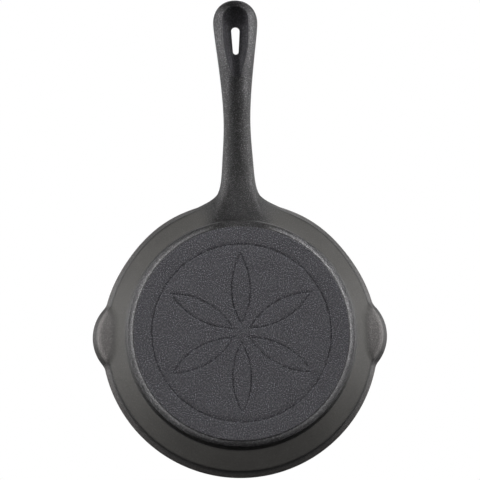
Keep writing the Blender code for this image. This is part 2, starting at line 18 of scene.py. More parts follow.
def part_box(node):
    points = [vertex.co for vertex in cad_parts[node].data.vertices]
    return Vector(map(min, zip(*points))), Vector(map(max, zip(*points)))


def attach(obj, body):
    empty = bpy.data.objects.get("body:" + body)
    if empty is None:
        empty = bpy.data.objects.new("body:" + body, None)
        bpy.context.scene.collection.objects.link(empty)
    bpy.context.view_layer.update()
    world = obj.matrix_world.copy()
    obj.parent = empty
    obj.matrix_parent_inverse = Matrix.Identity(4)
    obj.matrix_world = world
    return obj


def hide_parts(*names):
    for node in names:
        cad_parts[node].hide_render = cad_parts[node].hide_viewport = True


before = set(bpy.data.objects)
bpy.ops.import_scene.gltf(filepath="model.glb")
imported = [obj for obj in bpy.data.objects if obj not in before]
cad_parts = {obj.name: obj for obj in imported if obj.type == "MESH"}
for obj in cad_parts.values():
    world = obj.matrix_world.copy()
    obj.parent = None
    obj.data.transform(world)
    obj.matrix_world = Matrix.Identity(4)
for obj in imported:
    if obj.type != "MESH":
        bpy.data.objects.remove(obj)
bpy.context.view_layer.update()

MM = 0.001
MERGE = 0.001 * MM
BLACK = (0.0, 0.0, 0.0, 1.0)
WHITE = (1.0, 1.0, 1.0, 1.0)
log = logging.getLogger("skillet")


class Side(Enum):
    """The two faces of the handle."""

    LOWER = -1
    UPPER = 1


class RingKind(Enum):
    """The kinds of ring that the handle is drawn through."""

    ROOT = "root"
    SHANK = "shank"
    CAP = "cap"


def smooth_step(value: float) -> float:
    """Eases a share from 0 to 1, level at both ends.

    Args:
        value: The share, which may lie outside 0 to 1.

    Returns:
        The eased share.
    """
    value = min(max(value, 0.0), 1.0)
    return value * value * (3 - 2 * value)


def hump(distance: float, reach: float) -> float:
    """A smooth hump: 1 where the distance is nothing and 0 from the reach on."""
    return max(1 - (distance / reach) ** 2, 0.0) ** 2


@dataclass(frozen=True)
class Ramp:
    """A share that eases from 0 at one value to 1 at another, higher or lower one."""

    none: float
    full: float

    def at(self, value: float) -> float:
        """The share at a value."""
        return smooth_step((value - self.none) / (self.full - self.none))


@dataclass(frozen=True)
class Trace:
    """A soft-edged band of wear or dirt: its middle, its reach and how much lighter it is."""

    middle: float
    reach: float
    change: float

    def at(self, value: float) -> float:
        """The change of tone at a value."""
        return self.change * hump(value - self.middle, self.reach)


def smooth_through(points: tuple[tuple[float, float], ...], place: float) -> float:
    """Reads a smooth curve that runs through points.

    Args:
        points: The (place, height) points, in order of place.
        place: Where the curve is read.

    Returns:
        The curve's height there.
    """
    last = len(points) - 1
    place = min(max(place, points[0][0]), points[last][0])
    index = max(i for i in range(last) if points[i][0] <= place or i == 0)

    def slope(i: int) -> float:
        """The curve's slope at one of its points."""
        low, high = max(i - 1, 0), min(i + 1, last)
        return (points[high][1] - points[low][1]) / (points[high][0] - points[low][0])

    (x0, y0), (x1, y1) = points[index], points[index + 1]
    span = x1 - x0
    t = (place - x0) / span
    return (
        y0 * (1 + 2 * t) * (1 - t) ** 2
        + slope(index) * span * t * (1 - t) ** 2
        + y1 * t * t * (3 - 2 * t)
        + slope(index + 1) * span * t * t * (t - 1)
    )


@dataclass(frozen=True)
class Corner:
    """A corner of a section: its place, and the arc that rounds it."""

    r: float
    z: float
    radius: float = 0.0
    steps: int = 0


def rounded(corners: list[Corner]) -> list[Vector]:
    """Rounds the corners of a section.

    Args:
        corners: The section's corners in order.

    Returns:
        The (r, z) points of the section, with an arc at each corner that has a radius.
    """
    path = []
    for i, corner in enumerate(corners):
        here = Vector((corner.r, corner.z))
        if corner.radius == 0:
            path.append(here)
            continue
        before, after = corners[i - 1], corners[i + 1]
        back = (Vector((before.r, before.z)) - here).normalized()
        ahead = (Vector((after.r, after.z)) - here).normalized()
        half = back.angle(ahead) / 2
        centre = here + (back + ahead).normalized() * corner.radius / math.sin(half)
        start = here + back * corner.radius / math.tan(half) - centre
        turn = math.pi - 2 * half
        side = 1 if start.x * ahead.y - start.y * ahead.x > 0 else -1
        for k in range(corner.steps + 1):
            path.append(centre + Matrix.Rotation(side * turn * k / corner.steps, 2) @ start)
    return path


def start_disc(name: str, points: int, radius: float, height: float) -> bpy.types.Object:
    """Adds a filled circle and opens it in edit mode with its face selected.

    Args:
        name: The new piece's name.
        points: How many points the circle has.
        radius: The circle's radius.
        height: Its height above the base.

    Returns:
        The new piece.
    """
    bpy.ops.object.select_all(action="DESELECT")
    bpy.ops.mesh.primitive_circle_add(vertices=points, radius=radius, fill_type="NGON")
    piece = bpy.context.active_object
    piece.name = piece.data.name = name
    bpy.ops.object.mode_set(mode="EDIT")
    bpy.ops.mesh.select_mode(type="FACE")
    bpy.ops.mesh.select_all(action="SELECT")
    bpy.ops.transform.translate(value=(0.0, 0.0, height))
    return piece


def close_up(piece: bpy.types.Object) -> None:
    """Turns all faces of a piece outwards and leaves edit mode.

    Args:
        piece: The piece, open in edit mode.
    """
    bpy.ops.mesh.select_all(action="SELECT")
    bpy.ops.mesh.normals_make_consistent(inside=False)
    bpy.ops.mesh.select_all(action="DESELECT")
    bpy.ops.object.mode_set(mode="OBJECT")
    piece.select_set(False)


def apply_modifier(piece: bpy.types.Object, modifier: bpy.types.Modifier) -> None:
    """Applies one modifier of a piece.

    Args:
        piece: The piece.
        modifier: The modifier, which is one of the piece's own.
    """
    bpy.ops.object.select_all(action="DESELECT")
    bpy.context.view_layer.objects.active = piece
    piece.select_set(True)
    bpy.ops.object.modifier_apply(modifier=modifier.name)


def loft(name: str, rings: list[list[Vector]]) -> bpy.types.Object:
    """Models a closed solid through rings, by extruding a filled ring onto each next one.

    Args:
        name: The solid's name.
        rings: The rings, each with as many points as the first.

    Returns:
        The solid, with its faces outwards.
    """
    piece = start_disc(name, len(rings[0]), MM, 0.0)
    shape = bmesh.from_edit_mesh(piece.data)
    number = shape.verts.layers.int.new("number")
    for i, vert in enumerate(shape.verts):
        vert[number] = i
    for k, ring in enumerate(rings):
        if k > 0:
            bpy.ops.mesh.extrude_region_move()
        shape = bmesh.from_edit_mesh(piece.data)
        number = shape.verts.layers.int["number"]
        for vert in (vert for vert in shape.verts if vert.select):
            vert.co = ring[vert[number]]
        bmesh.update_edit_mesh(piece.data)
    close_up(piece)
    return piece


@dataclass
class Bowl:
    """The round bowl: a flat base, a flared wall with a step and a thin band, and a plain inside."""

    rim_radius: float
    rim_height: float
    rim_thickness: float = 4.5 * MM
    rim_edge_radius: float = 1.6 * MM
    rim_straight: float = 2.2 * MM
    wall_flare: float = 16.7 * MM
    wall_thickness: float = 4.0 * MM
    foot_height: float = 11.5 * MM
    foot_lean: float = 1.5 * MM
    foot_fillet: float = 3.0 * MM
    bevel_width: float = 4.9 * MM
    bevel_height: float = 2.4 * MM
    base_edge_radius: float = 3.0 * MM
    bevel_edge_radius: float = 0.6 * MM
    floor_thickness: float = 4.5 * MM
    floor_fillet: float = 10.0 * MM
    shoulder_radius: float = 20.0 * MM
    band_height: float = 8.0 * MM
    band_lean: float = 2.6 * MM
    step_height: float = 4.5 * MM
    step_lean: float = 1.2 * MM
    step_edge_radius: float = 0.9 * MM
    patch_band_share: float = 0.60
    wall_rows: tuple[float, ...] = (0.30, 0.50, 0.70, 0.86)
    inner_rows: tuple[float, ...] = (0.25, 0.45)
    flat_rows: tuple[float, ...] = (0.30, 0.70, 0.96)
    columns: int = 92

    @property
    def foot(self) -> Vector:
        """The (r, z) corner between the steep base side and the flared wall."""
        return Vector((self.rim_radius - self.wall_flare, self.foot_height))

    @property
    def base_radius(self) -> float:
        """The radius of the base, before its edge is rounded."""
        return self.foot.x - self.foot_lean

    @property
    def band_foot(self) -> Vector:
        """The (r, z) corner at the foot of the band under the rim."""
        return Vector((self.rim_radius - self.band_lean, self.rim_height - self.band_height))

    @property
    def wall_edge(self) -> Vector:
        """The (r, z) corner at the top of the flared wall, below the step."""
        return self.band_foot - Vector((self.step_lean, self.step_height))

    def inner_wall(self) -> tuple[Vector, Vector]:
        """The straight inner wall, before its ends are rounded.

        Returns:
            Its lower and upper (r, z) ends.
        """
        wall = self.wall_edge - self.foot
        upper = self.wall_edge + Vector((-wall.y, wall.x)).normalized() * self.wall_thickness
        return upper + wall * ((self.floor_thickness - upper.y) / wall.y), upper

    def patch_top(self) -> float:
        """The height on the band up to which the handle's root reaches."""
        widest = self.rim_height - self.rim_straight
        return self.band_foot.y + self.patch_band_share * (widest - self.band_foot.y)

    def section(self) -> list[Vector]:
        """The bowl's half section, from the base round the rim to the floor.

        Returns:
            Its (r, z) points, without the two ends on the axis.
        """
        widest = Vector((self.rim_radius, self.rim_height - self.rim_straight))
        inner_foot, inner_edge = self.inner_wall()
        flat = self.base_radius - self.bevel_width
        floor = inner_foot.x - self.floor_fillet
        corners = [Corner(flat * row, 0.0) for row in self.flat_rows]
        corners.append(Corner(flat, 0.0, self.bevel_edge_radius, 1))
        corners.append(Corner(self.base_radius, self.bevel_height, self.base_edge_radius, 3))
        corners.append(Corner(*self.foot, self.foot_fillet, 2))
        corners += [Corner(*self.foot.lerp(self.wall_edge, row)) for row in self.wall_rows]
        corners.append(Corner(*self.wall_edge, self.step_edge_radius, 2))
        corners.append(Corner(*self.band_foot, self.step_edge_radius, 2))
        corners.append(Corner(*self.band_foot.lerp(widest, self.patch_band_share)))
        corners.append(Corner(*widest, self.step_edge_radius, 1))
        corners.append(Corner(self.rim_radius, self.rim_height, self.rim_edge_radius, 3))
        inner_rim = self.rim_radius - self.rim_thickness
        corners.append(Corner(inner_rim, self.rim_height, self.rim_edge_radius, 3))
        corners.append(Corner(*inner_edge, self.shoulder_radius, 2))
        corners += [Corner(*inner_edge.lerp(inner_foot, row)) for row in self.inner_rows]
        corners.append(Corner(*inner_foot, self.floor_fillet, 4))
        corners += [Corner(floor * row, self.floor_thickness) for row in reversed(self.flat_rows)]
        return rounded(corners)

    def model(self, name: str) -> bpy.types.Object:
        """Draws the bowl ring by ring from the middle of its base.

        Args:
            name: The new piece's name.

        Returns:
            The bowl, open in edit mode.
        """
        section = self.section()
        bowl = start_disc(name, self.columns, section[0].x, section[0].y)
        for here, there in zip(section, section[1:]):
            rise = (0.0, 0.0, there.y - here.y)
            growth = there.x / here.x
            bpy.ops.mesh.extrude_region_move(TRANSFORM_OT_translate={"value": rise})
            bpy.ops.transform.resize(value=(growth, growth, 1.0), center_override=(0.0, 0.0, 0.0))
        return bowl


@dataclass
class PouringLips:
    """Two shallow pouring lips, pressed out of the wall to the left and right of the handle."""

    bowl: Bowl
    edge: float
    arc_radius: float = 31.0 * MM
    shift: float = 3.4 * MM
    blend: float = 1.4 * MM
    depth: float = 26.0 * MM
    full_depth: float = 11.0 * MM
    spread_below: float = 0.45
    rim_margin: float = 1.01

    @property
    def turn(self) -> float:
        """The angle by which the lips lie nearer the handle than the X axis."""
        return math.asin(self.shift / self.bowl.rim_radius)

    @property
    def reach(self) -> float:
        """How far a lip stands out past the rim."""
        return self.edge / math.cos(self.turn) - self.bowl.rim_radius

    def swell(self, place: Vector) -> float:
        """How far the wall is pressed out at a point of the plain bowl.

        Args:
            place: The point.

        Returns:
            The distance outwards, in metres.
        """
        below = self.bowl.rim_height - place.z
        depth = smooth_step((self.depth - below) / (self.depth - self.full_depth))
        centre = self.bowl.rim_radius + self.reach - self.arc_radius
        turned = math.atan2(place.y, abs(place.x)) + self.turn
        turned *= 1 + self.spread_below * (1 - depth)
        room = self.arc_radius**2 - (centre * math.sin(turned)) ** 2
        if room <= 0 or abs(turned) > math.pi / 2:
            return 0.0
        stand = centre * math.cos(turned) + math.sqrt(room) - self.bowl.rim_radius
        share = min(max(0.5 + 0.5 * stand / self.blend, 0.0), 1.0)
        return depth * (stand * share + self.blend * share * (1 - share))

    def press(self, casting: bpy.types.Object) -> None:
        """Presses the lips out of the finished wall.

        Args:
            casting: The casting.
        """
        inner = self.bowl.inner_wall()[0].x - self.bowl.floor_fillet
        for vert in casting.data.vertices:
            radius = vert.co.xy.length
            if inner < radius < self.bowl.rim_radius * self.rim_margin:
                vert.co.xy *= (radius + self.swell(vert.co)) / radius


@dataclass(frozen=True)
class Easing:
    """One pass that eases the creases where the handle's root meets the wall."""

    rounds: int
    half_angle: float
    highest: float = 1.0
    strength: float = 0.5


@dataclass
class Handle:
    """The long handle: a root that flares into the wall, a slim shank and a wide rounded end."""

    bowl: Bowl
    end: float
    end_length: float = 18.5 * MM
    end_half_width: float = 16.4 * MM
    shoulder_length: float = 46.2 * MM
    shoulder_half_width: float = 13.3 * MM
    waist_share: float = 0.69
    waist_half_width: float = 10.65 * MM
    neck_share: float = 0.415
    neck_half_width: float = 9.75 * MM
    root_length: float = 20.0 * MM
    root_half_width: float = 12.0 * MM
    rises: tuple[float, ...] = (-4.8 * MM, -1.4 * MM, 9.0 * MM, 11.6 * MM)
    thicknesses: tuple[float, ...] = (11.2 * MM, 9.1 * MM, 8.8 * MM)
    upper_share: float = 0.40
    upper_roundness: float = 3.0
    lower_roundness: float = 2.1
    plan_roundness: float = 2.2
    end_roundness: float = 2.4
    slope: float = math.radians(35)
    drop: float = math.radians(30)
    side_pull: float = 110.0 * MM
    bottom_pull: float = 38.0 * MM
    top_pull: float = 12.0 * MM
    end_pull: float = 56.0 * MM
    look_ahead: float = 2.0 * MM
    corner_power: int = 2
    crowding: float = 1.35
    foot_share: float = 0.70
    relaxed: float = math.radians(46)
    draw_reach: float = 2.0 * MM
    draw_near: float = math.radians(27)
    draw_far: float = math.radians(58)
    easings: tuple[Easing, ...] = (
        Easing(3, math.radians(34)),
        Easing(12, math.radians(38), highest=0.3),
    )
    easing_margin: float = 1.0 * MM
    patch_columns: int = 12
    root_rings: int = 9
    shank_rings: int = 12
    end_rings: int = 8
    end_sweep: float = math.radians(81)
    past_root: float = 2.0
    digits: int = 6

    @property
    def root_end(self) -> float:
        """Where the flare has become the shank, as a distance from the axis of the bowl."""
        return self.bowl.rim_radius + self.root_length

    @property
    def end_start(self) -> float:
        """Where the rounded end begins and the handle is widest."""
        return self.end - self.end_length

    def half_width(self, place: float) -> float:
        """Half the handle's width at a place along it.

        Args:
            place: The distance from the axis of the bowl.

        Returns:
            Half the width.
        """
        if place >= self.end_start:
            share = (place - self.end_start) / self.end_length
            power = self.plan_roundness
            return self.end_half_width * max(1 - share**power, 0.0) ** (1 / power)
        shoulder = self.end - self.shoulder_length
        run = shoulder - self.root_end
        points = (
            (self.root_end, self.root_half_width),
            (self.root_end + self.neck_share * run, self.neck_half_width),
            (self.root_end + self.waist_share * run, self.waist_half_width),
            (shoulder, self.shoulder_half_width),
            (self.end_start, self.end_half_width),
            (self.end, self.end_half_width),
        )
        return smooth_through(points, place)

    def stations(self) -> tuple[float, ...]:
        """The places at which the handle's heights are given: root, neck, start of the end, end."""
        run = self.end - self.shoulder_length - self.root_end
        return (self.root_end, self.root_end + self.neck_share * run, self.end_start, self.end)

    def face(self, side: Side, place: float) -> float:
        """The height of a face of the handle along its middle.

        Args:
            side: The upper or the lower face.
            place: The distance from the axis of the bowl.

        Returns:
            The height above the base.
        """
        top = self.bowl.rim_height + smooth_through(tuple(zip(self.stations(), self.rises)), place)
        if side is Side.UPPER:
            return top
        return top - smooth_through(tuple(zip(self.stations(), self.thicknesses)), place)

    def height_at(self, side: Side, across: float, place: float) -> float:
        """The height of a face of the handle at a point of its plan.

        Args:
            side: The upper or the lower face.
            across: The distance from the handle's middle line.
            place: The distance from the axis of the bowl.

        Returns:
            The height above the base.
        """
        top, bottom = self.face(Side.UPPER, place), self.face(Side.LOWER, place)
        middle = top - (top - bottom) * self.upper_share
        power = self.upper_roundness if side is Side.UPPER else self.lower_roundness
        share = min(abs(across) / self.half_width(place), 1.0)
        stand = (1 - share**power) ** (1 / power) * self.taper(place)
        return middle + ((top if side is Side.UPPER else bottom) - middle) * stand

    def taper(self, place: float) -> float:
        """The share of the handle's thickness that is left towards its rounded end."""
        share = max(place - self.end_start, 0.0) / self.end_length
        return max(1 - share**self.end_roundness, 0.0) ** (1 / self.end_roundness)

    def point(self, place: float, turned: float, share: float) -> Vector:
        """A point of the handle's cross section.

        Args:
            place: The section's distance from the axis of the bowl.
            turned: The angle round the section.
            share: How far out from the section's middle the point lies.

        Returns:
            The point.
        """
        top, bottom = self.face(Side.UPPER, place), self.face(Side.LOWER, place)
        middle = top - (top - bottom) * self.upper_share
        upper = math.sin(turned) > 0
        power = 2 / (self.upper_roundness if upper else self.lower_roundness)
        height = (top - middle if upper else middle - bottom) * self.taper(place)
        across = math.copysign(abs(math.cos(turned)) ** power, math.cos(turned))
        rise = math.copysign(abs(math.sin(turned)) ** power, math.sin(turned))
        width = self.half_width(place) * across
        return Vector((width * share, -place, middle + height * rise * share))

    @property
    def root_half_angle(self) -> float:
        """Half the angle that the root's patch of wall spans round the bowl."""
        return math.pi * self.patch_columns / self.bowl.columns

    def wall_share(self, height: float) -> float:
        """How far up the flared wall a height is, eased from 0 at its foot to 1 at the band."""
        return Ramp(self.bowl.foot_height, self.bowl.band_foot.y).at(height)

    def narrowed(self, angle: float, height: float) -> float:
        """Where a column of the outer wall is moved to, in towards the root's foot.

        Args:
            angle: The column's angle from the handle.
            height: The height above the base.

        Returns:
            The new angle at that height.
        """
        eased = (1 - self.wall_share(height)) * smooth_step(height / self.bowl.foot_height)
        share = 1 - (1 - self.foot_share) * eased
        turned = abs(angle)
        if turned >= self.relaxed:
            return angle
        if turned <= self.root_half_angle:
            return angle * share
        inner = self.root_half_angle * share
        along = (turned - self.root_half_angle) / (self.relaxed - self.root_half_angle)
        return math.copysign(inner + (self.relaxed - inner) * along, angle)

    def drawn_by(self, angle: float, height: float) -> float:
        """How far the rim and wall are drawn out at an angle from the handle."""
        near = smooth_step((self.draw_far - abs(angle)) / (self.draw_far - self.draw_near))
        return self.draw_reach * near * self.wall_share(height)

    def shape_wall(self, mesh: bmesh.types.BMesh) -> None:
        """Draws the wall out towards the handle, and its columns in towards the root's foot.

        Args:
            mesh: The bowl's mesh, which is open in edit mode.
        """
        floor = self.bowl.inner_wall()[0].x - self.bowl.floor_fillet
        for vert in mesh.verts:
            radius = vert.co.xy.length
            if radius < floor:
                continue
            angle = math.atan2(vert.co.x, -vert.co.y)
            radius += self.drawn_by(angle, vert.co.z)
            if vert.co.xy.length > self.wall_middle(vert.co.z):
                angle = self.narrowed(angle, vert.co.z)
            vert.co.x = radius * math.sin(angle)
            vert.co.y = -radius * math.cos(angle)

    def pull_at(self, place: Vector, u: float, v: float) -> Vector:
        """The direction and force with which the flare leaves the wall.

        Args:
            place: The place on the wall.
            u: The place across the patch of wall, from -1 to 1.
            v: The place up the patch, from -1 to 1.

        Returns:
            The flare's starting tangent.
        """
        angle = math.atan2(place.x, -place.y)
        widest = self.bowl.rim_radius * math.sin(self.root_half_angle) - self.root_half_width
        beside = max((abs(place.x) - self.root_half_width) / widest, 0.0)
        outward = Vector((math.sin(angle), -math.cos(angle), 0))
        sideways = Vector((-math.copysign(math.cos(angle), u), -abs(math.sin(angle)), 0))
        rising = outward * math.cos(self.slope) + Vector((0, 0, math.sin(self.slope)))
        falling = outward * math.cos(self.drop) - Vector((0, 0, math.sin(self.drop)))
        weights = [max(side, 0) ** self.corner_power for side in (abs(u), -v, v)]
        total = sum(weights) or 1.0
        side_pull = self.side_pull * beside
        pulls = (sideways * side_pull, rising * self.bottom_pull, falling * self.top_pull)
        return sum((p * (w / total) for p, w in zip(pulls, weights)), Vector())

    def flare(self, start: Vector, pull: Vector, turned: float, share: float, t: float) -> Vector:
        """A cubic curve from the wall, along its pull, to the section at the root's end.

        Args:
            start: The curve's start on the wall.
            pull: Its tangent there.
            turned: The angle round the section of its end.
            share: How far out from the section's middle its end lies.
            t: How far along the curve the point is, from 0 to 1.

        Returns:
            The point.
        """
        end = self.point(self.root_end, turned, share)
        ahead = self.point(self.root_end + self.look_ahead, turned, share)
        arrive = (ahead - end).normalized() * self.end_pull
        return (
            start * ((1 + 2 * t) * (1 - t) ** 2)
            + pull * (t * (1 - t) ** 2)
            + end * (t * t * (3 - 2 * t))
            + arrive * (t * t * (t - 1))
        )

    def rings(self) -> list[tuple[RingKind, float]]:
        """Plans the rings that the handle is drawn through.

        Returns:
            Each ring's kind, with its share of the root or its place along the handle.
        """
        rings = [
            (RingKind.ROOT, (k / self.root_rings) ** self.crowding)
            for k in range(1, self.root_rings + 1)
        ]
        run = self.end_start - self.root_end
        for k in range(1, self.shank_rings + 1):
            rings.append((RingKind.SHANK, self.root_end + run * k / self.shank_rings))
        for k in range(1, self.end_rings + 1):
            turned = self.end_sweep * k / self.end_rings
            rings.append((RingKind.SHANK, self.end_start + self.end_length * math.sin(turned)))
        return rings + [(RingKind.CAP, self.end)]

    def mark_patch(self, casting: bpy.types.Object) -> None:
        """Selects the patch of wall that the handle grows from, and marks its points.

        Args:
            casting: The bowl, open in edit mode.
        """
        mesh = bmesh.from_edit_mesh(casting.data)
        for name in ("turned", "share", "drawn"):
            mesh.verts.layers.float.new(name)
        for name in ("start", "pull"):
            mesh.verts.layers.float_vector.new(name)
        mesh.normal_update()
        for face in mesh.faces:
            centre = face.calc_center_median()
            ahead = abs(math.atan2(centre.x, -centre.y)) < self.root_half_angle
            within = self.bowl.foot_height < centre.z < self.bowl.patch_top()
            outside = centre.xy.length > self.bowl.base_radius
            outside = outside and centre.xy.length > self.wall_middle(centre.z)
            face.select_set(ahead and within and outside)
        mesh.select_flush_mode()
        self.mark_points(mesh)
        bmesh.update_edit_mesh(casting.data)

    def wall_middle(self, height: float) -> float:
        """The middle of the wall at a height, between its two faces.

        Args:
            height: The height above the base.

        Returns:
            The radius there.
        """
        foot, edge = self.bowl.foot, self.bowl.wall_edge
        share = (height - foot.y) / (edge.y - foot.y)
        return min(foot.x + (edge.x - foot.x) * share, edge.x) - self.bowl.wall_thickness / 2

    def mark_points(self, mesh: bmesh.types.BMesh) -> None:
        """Shapes the wall round the patch, and writes on each of its points how it is drawn out.

        Args:
            mesh: The mesh that is open in edit mode, with the patch selected.
        """
        floats, vectors = mesh.verts.layers.float, mesh.verts.layers.float_vector
        chosen = [vert for vert in mesh.verts if vert.select]
        angles = {vert: math.atan2(vert.co.x, -vert.co.y) for vert in chosen}
        heights = sorted({round(vert.co.z, self.digits) for vert in chosen})
        self.shape_wall(mesh)
        for vert in chosen:
            u = round(angles[vert] / self.root_half_angle, self.digits - 1)
            row = min(range(len(heights)), key=lambda i: abs(heights[i] - vert.co.z))
            v = 2 * row / (len(heights) - 1) - 1
            vert[floats["share"]] = max(abs(u), abs(v))
            vert[floats["turned"]] = self.turn_of(u, v)
            vert[vectors["start"]] = vert.co
            vert[vectors["pull"]] = self.pull_at(vert.co, u, v)

    @staticmethod
    def turn_of(u: float, v: float) -> float:
        """Maps a place on the square patch of wall to the handle's section.

        Args:
            u: The place across the patch, from -1 to 1.
            v: The place up the patch, from -1 to 1.

        Returns:
            The angle round the section.
        """
        quarter = math.pi / 4
        if u == 0 and v == 0:
            return 0.0
        if abs(u) >= abs(v):
            along = v / abs(u)
            return quarter * along if u > 0 else math.pi - quarter * along
        along = u / abs(v)
        return math.pi / 2 - quarter * along if v > 0 else 3 * math.pi / 2 + quarter * along

    def draw_out(self, casting: bpy.types.Object) -> None:
        """Draws the handle out of the wall, ring by ring.

        Args:
            casting: The bowl, open in edit mode.
        """
        self.mark_patch(casting)
        for kind, value in self.rings():
            if kind is not RingKind.CAP:
                bpy.ops.mesh.extrude_region_move()
            mesh = bmesh.from_edit_mesh(casting.data)
            floats, vectors = mesh.verts.layers.float, mesh.verts.layers.float_vector
            for vert in [vert for vert in mesh.verts if vert.select]:
                turned, share = vert[floats["turned"]], vert[floats["share"]]
                vert[floats["drawn"]] = value if kind is RingKind.ROOT else self.past_root
                if kind is RingKind.ROOT:
                    start, pull = vert[vectors["start"]], vert[vectors["pull"]]
                    vert.co = self.flare(start, pull, turned, share, value)
                elif kind is RingKind.SHANK:
                    vert.co = self.point(value, turned, share)
                else:
                    vert.co.y -= (value + vert.co.y) * (1 - share**2)
            bmesh.update_edit_mesh(casting.data)
        for easing in self.easings:
            self.ease(casting, easing)

    def ease(self, casting: bpy.types.Object, easing: Easing) -> None:
        """Eases the creases between the root and the wall.

        Args:
            casting: The casting, open in edit mode.
            easing: The pass: its rounds, how far round the bowl and how high it reaches.
        """
        bpy.ops.mesh.select_mode(type="VERT")
        mesh = bmesh.from_edit_mesh(casting.data)
        floats = mesh.verts.layers.float
        low = self.bowl.foot_height + self.easing_margin
        high = self.bowl.wall_edge.y - self.easing_margin
        for vert in mesh.verts:
            angle = math.atan2(vert.co.x, -vert.co.y)
            outer = vert.co.xy.length > self.wall_middle(vert.co.z)
            beside = outer and low < vert.co.z < high and abs(angle) < easing.half_angle
            drawn = vert[floats["drawn"]]
            root = 0 < drawn <= 1 and math.sin(vert[floats["turned"]]) <= easing.highest
            vert.select_set(root or (beside and drawn == 0))
        mesh.select_flush_mode()
        bmesh.update_edit_mesh(casting.data)
        bpy.ops.mesh.vertices_smooth(factor=easing.strength, repeat=easing.rounds)
        bpy.ops.mesh.select_mode(type="FACE")


@dataclass
class Teardrop:
    """A teardrop in plan: an arc at the round end, full flanks and a small arc at the tip."""

    round_end: float
    tip: float
    half_width: float
    tip_radius: float
    bulge: float = 0.0
    flank_points: int = 6
    arc_points: int = 30

    @property
    def centres(self) -> tuple[float, float]:
        """The places of the centres of the round end's arc and of the tip's."""
        return self.round_end - self.half_width, self.tip + self.tip_radius

    def outside(self, across: float, place: float) -> float:
        """About how far a point lies outside the outline.

        Args:
            across: The point's distance from the middle line.
            place: Its distance along that line.

        Returns:
            The distance, which is below zero inside.
        """
        centre, tip_centre = self.centres
        if place >= centre:
            return math.hypot(across, place - centre) - self.half_width
        if place <= tip_centre:
            return math.hypot(across, place - tip_centre) - self.tip_radius
        share = (centre - place) / (centre - tip_centre)
        width = self.half_width + (self.tip_radius - self.half_width) * share
        return abs(across) - width - self.bulge * 4 * share * (1 - share)

    def outline(self, grow: float = 0.0) -> list[tuple[float, float]]:
        """The outline, offset outwards by a distance.

        Args:
            grow: The offset.

        Returns:
            The outline's (across, place) points.
        """
        wide, narrow = self.half_width + grow, self.tip_radius + grow
        centre, tip_centre = self.centres
        lean = math.asin((wide - narrow) / (centre - tip_centre))
        flank = []
        for k in range(1, self.flank_points + 1):
            share = k / (self.flank_points + 1)
            radius = wide + (narrow - wide) * share
            middle = centre + (tip_centre - centre) * share
            across = radius * math.cos(lean) + self.bulge * 4 * share * (1 - share)
            flank.append((across, middle - radius * math.sin(lean)))
        outline = []
        for k in range(self.arc_points + 1):
            angle = -lean + (math.pi + 2 * lean) * k / self.arc_points
            outline.append((wide * math.cos(angle), centre + wide * math.sin(angle)))
        outline += [(-across, place) for across, place in flank]
        steps = self.arc_points // 3
        for k in range(steps + 1):
            angle = math.pi + lean + (math.pi - 2 * lean) * k / steps
            outline.append((narrow * math.cos(angle), tip_centre + narrow * math.sin(angle)))
        outline += reversed(flank)
        return outline


@dataclass
class HangingEye:
    """The teardrop hollow on each face of the handle's end, and the slot through its floor."""

    handle: Handle
    border: float = 6.9 * MM
    end_border: float = 5.0 * MM
    length: float = 54.5 * MM
    tip_radius: float = 4.2 * MM
    bulge: float = 1.9 * MM
    upper_depth: float = 1.6 * MM
    web_thickness: float = 3.2 * MM
    slot_inset: float = 15.5 * MM
    slot_length: float = 21.4 * MM
    slot_half_width: float = 3.1 * MM
    slot_end_radius: float = 2.1 * MM
    edge: float = 0.5 * MM
    clear: float = 2.2 * MM
    clear_grow: float = 1.6
    lip_rings: tuple[tuple[float, float], ...] = ((1.0, -0.6), (0.55, 0.0), (0.2, 0.3), (0.0, 0.8))
    border_fade: float = 2.2
    lip_drop: float = 0.8
    scoop: tuple[tuple[float, float], ...] = (
        (0.05, 0.17), (0.14, 0.38), (0.27, 0.58), (0.43, 0.77), (0.62, 0.91), (0.82, 1.0)
    )

    def shapes(self) -> tuple[Teardrop, Teardrop]:
        """Plans the eye.

        Returns:
            The outlines of the hollow and of the slot.
        """
        top = self.handle.end - self.end_border
        width = self.handle.end_half_width - self.border
        hollow = Teardrop(top, top - self.length, width, self.tip_radius, self.bulge)
        slot_top = top - self.slot_inset
        slot_tip = slot_top - self.slot_length
        return hollow, Teardrop(slot_top, slot_tip, self.slot_half_width, self.slot_end_radius)

    def cutter(self, name: str, side: Side) -> bpy.types.Object:
        """Models the cutter of one hollow, with the slot on from its floor.

        Args:
            name: The cutter's name.
            side: The face of the handle that it cuts.

        Returns:
            The closed cutter.
        """
        depth = self.upper_depth
        if side is Side.LOWER:
            depth = self.handle.thicknesses[-1] - self.upper_depth - self.web_thickness
        hollow, slot = self.shapes()
        rings = [
            [
                Vector((across, -place, self.handle.face(side, place) + side.value * self.clear))
                for across, place in hollow.outline(self.clear_grow * self.edge)
            ]
        ]
        for grow, drop in self.lip_rings:
            ring = []
            for across, place in hollow.outline(grow * self.edge):
                height = self.handle.height_at(side, across, place)
                ring.append(Vector((across, -place, height - side.value * drop * self.edge)))
            rings.append(ring)
        for inset, down in (*self.scoop, (1.0, 1.0), (1.0, 1.0 + self.web_thickness / depth)):
            ring = []
            for (a, b), (c, d) in zip(hollow.outline(), slot.outline()):
                across, place = a + (c - a) * inset, b + (d - b) * inset
                border = self.handle.height_at(side, a, b) - self.handle.face(side, b)
                floor = self.handle.face(side, place) - side.value * down * depth
                floor += border * max(1 - self.border_fade * inset, 0.0)
                if down <= 1.0:
                    floor -= side.value * self.lip_drop * self.edge * (1 - down)
                ring.append(Vector((across, -place, floor)))
            rings.append(ring)
        return loft(name, rings)


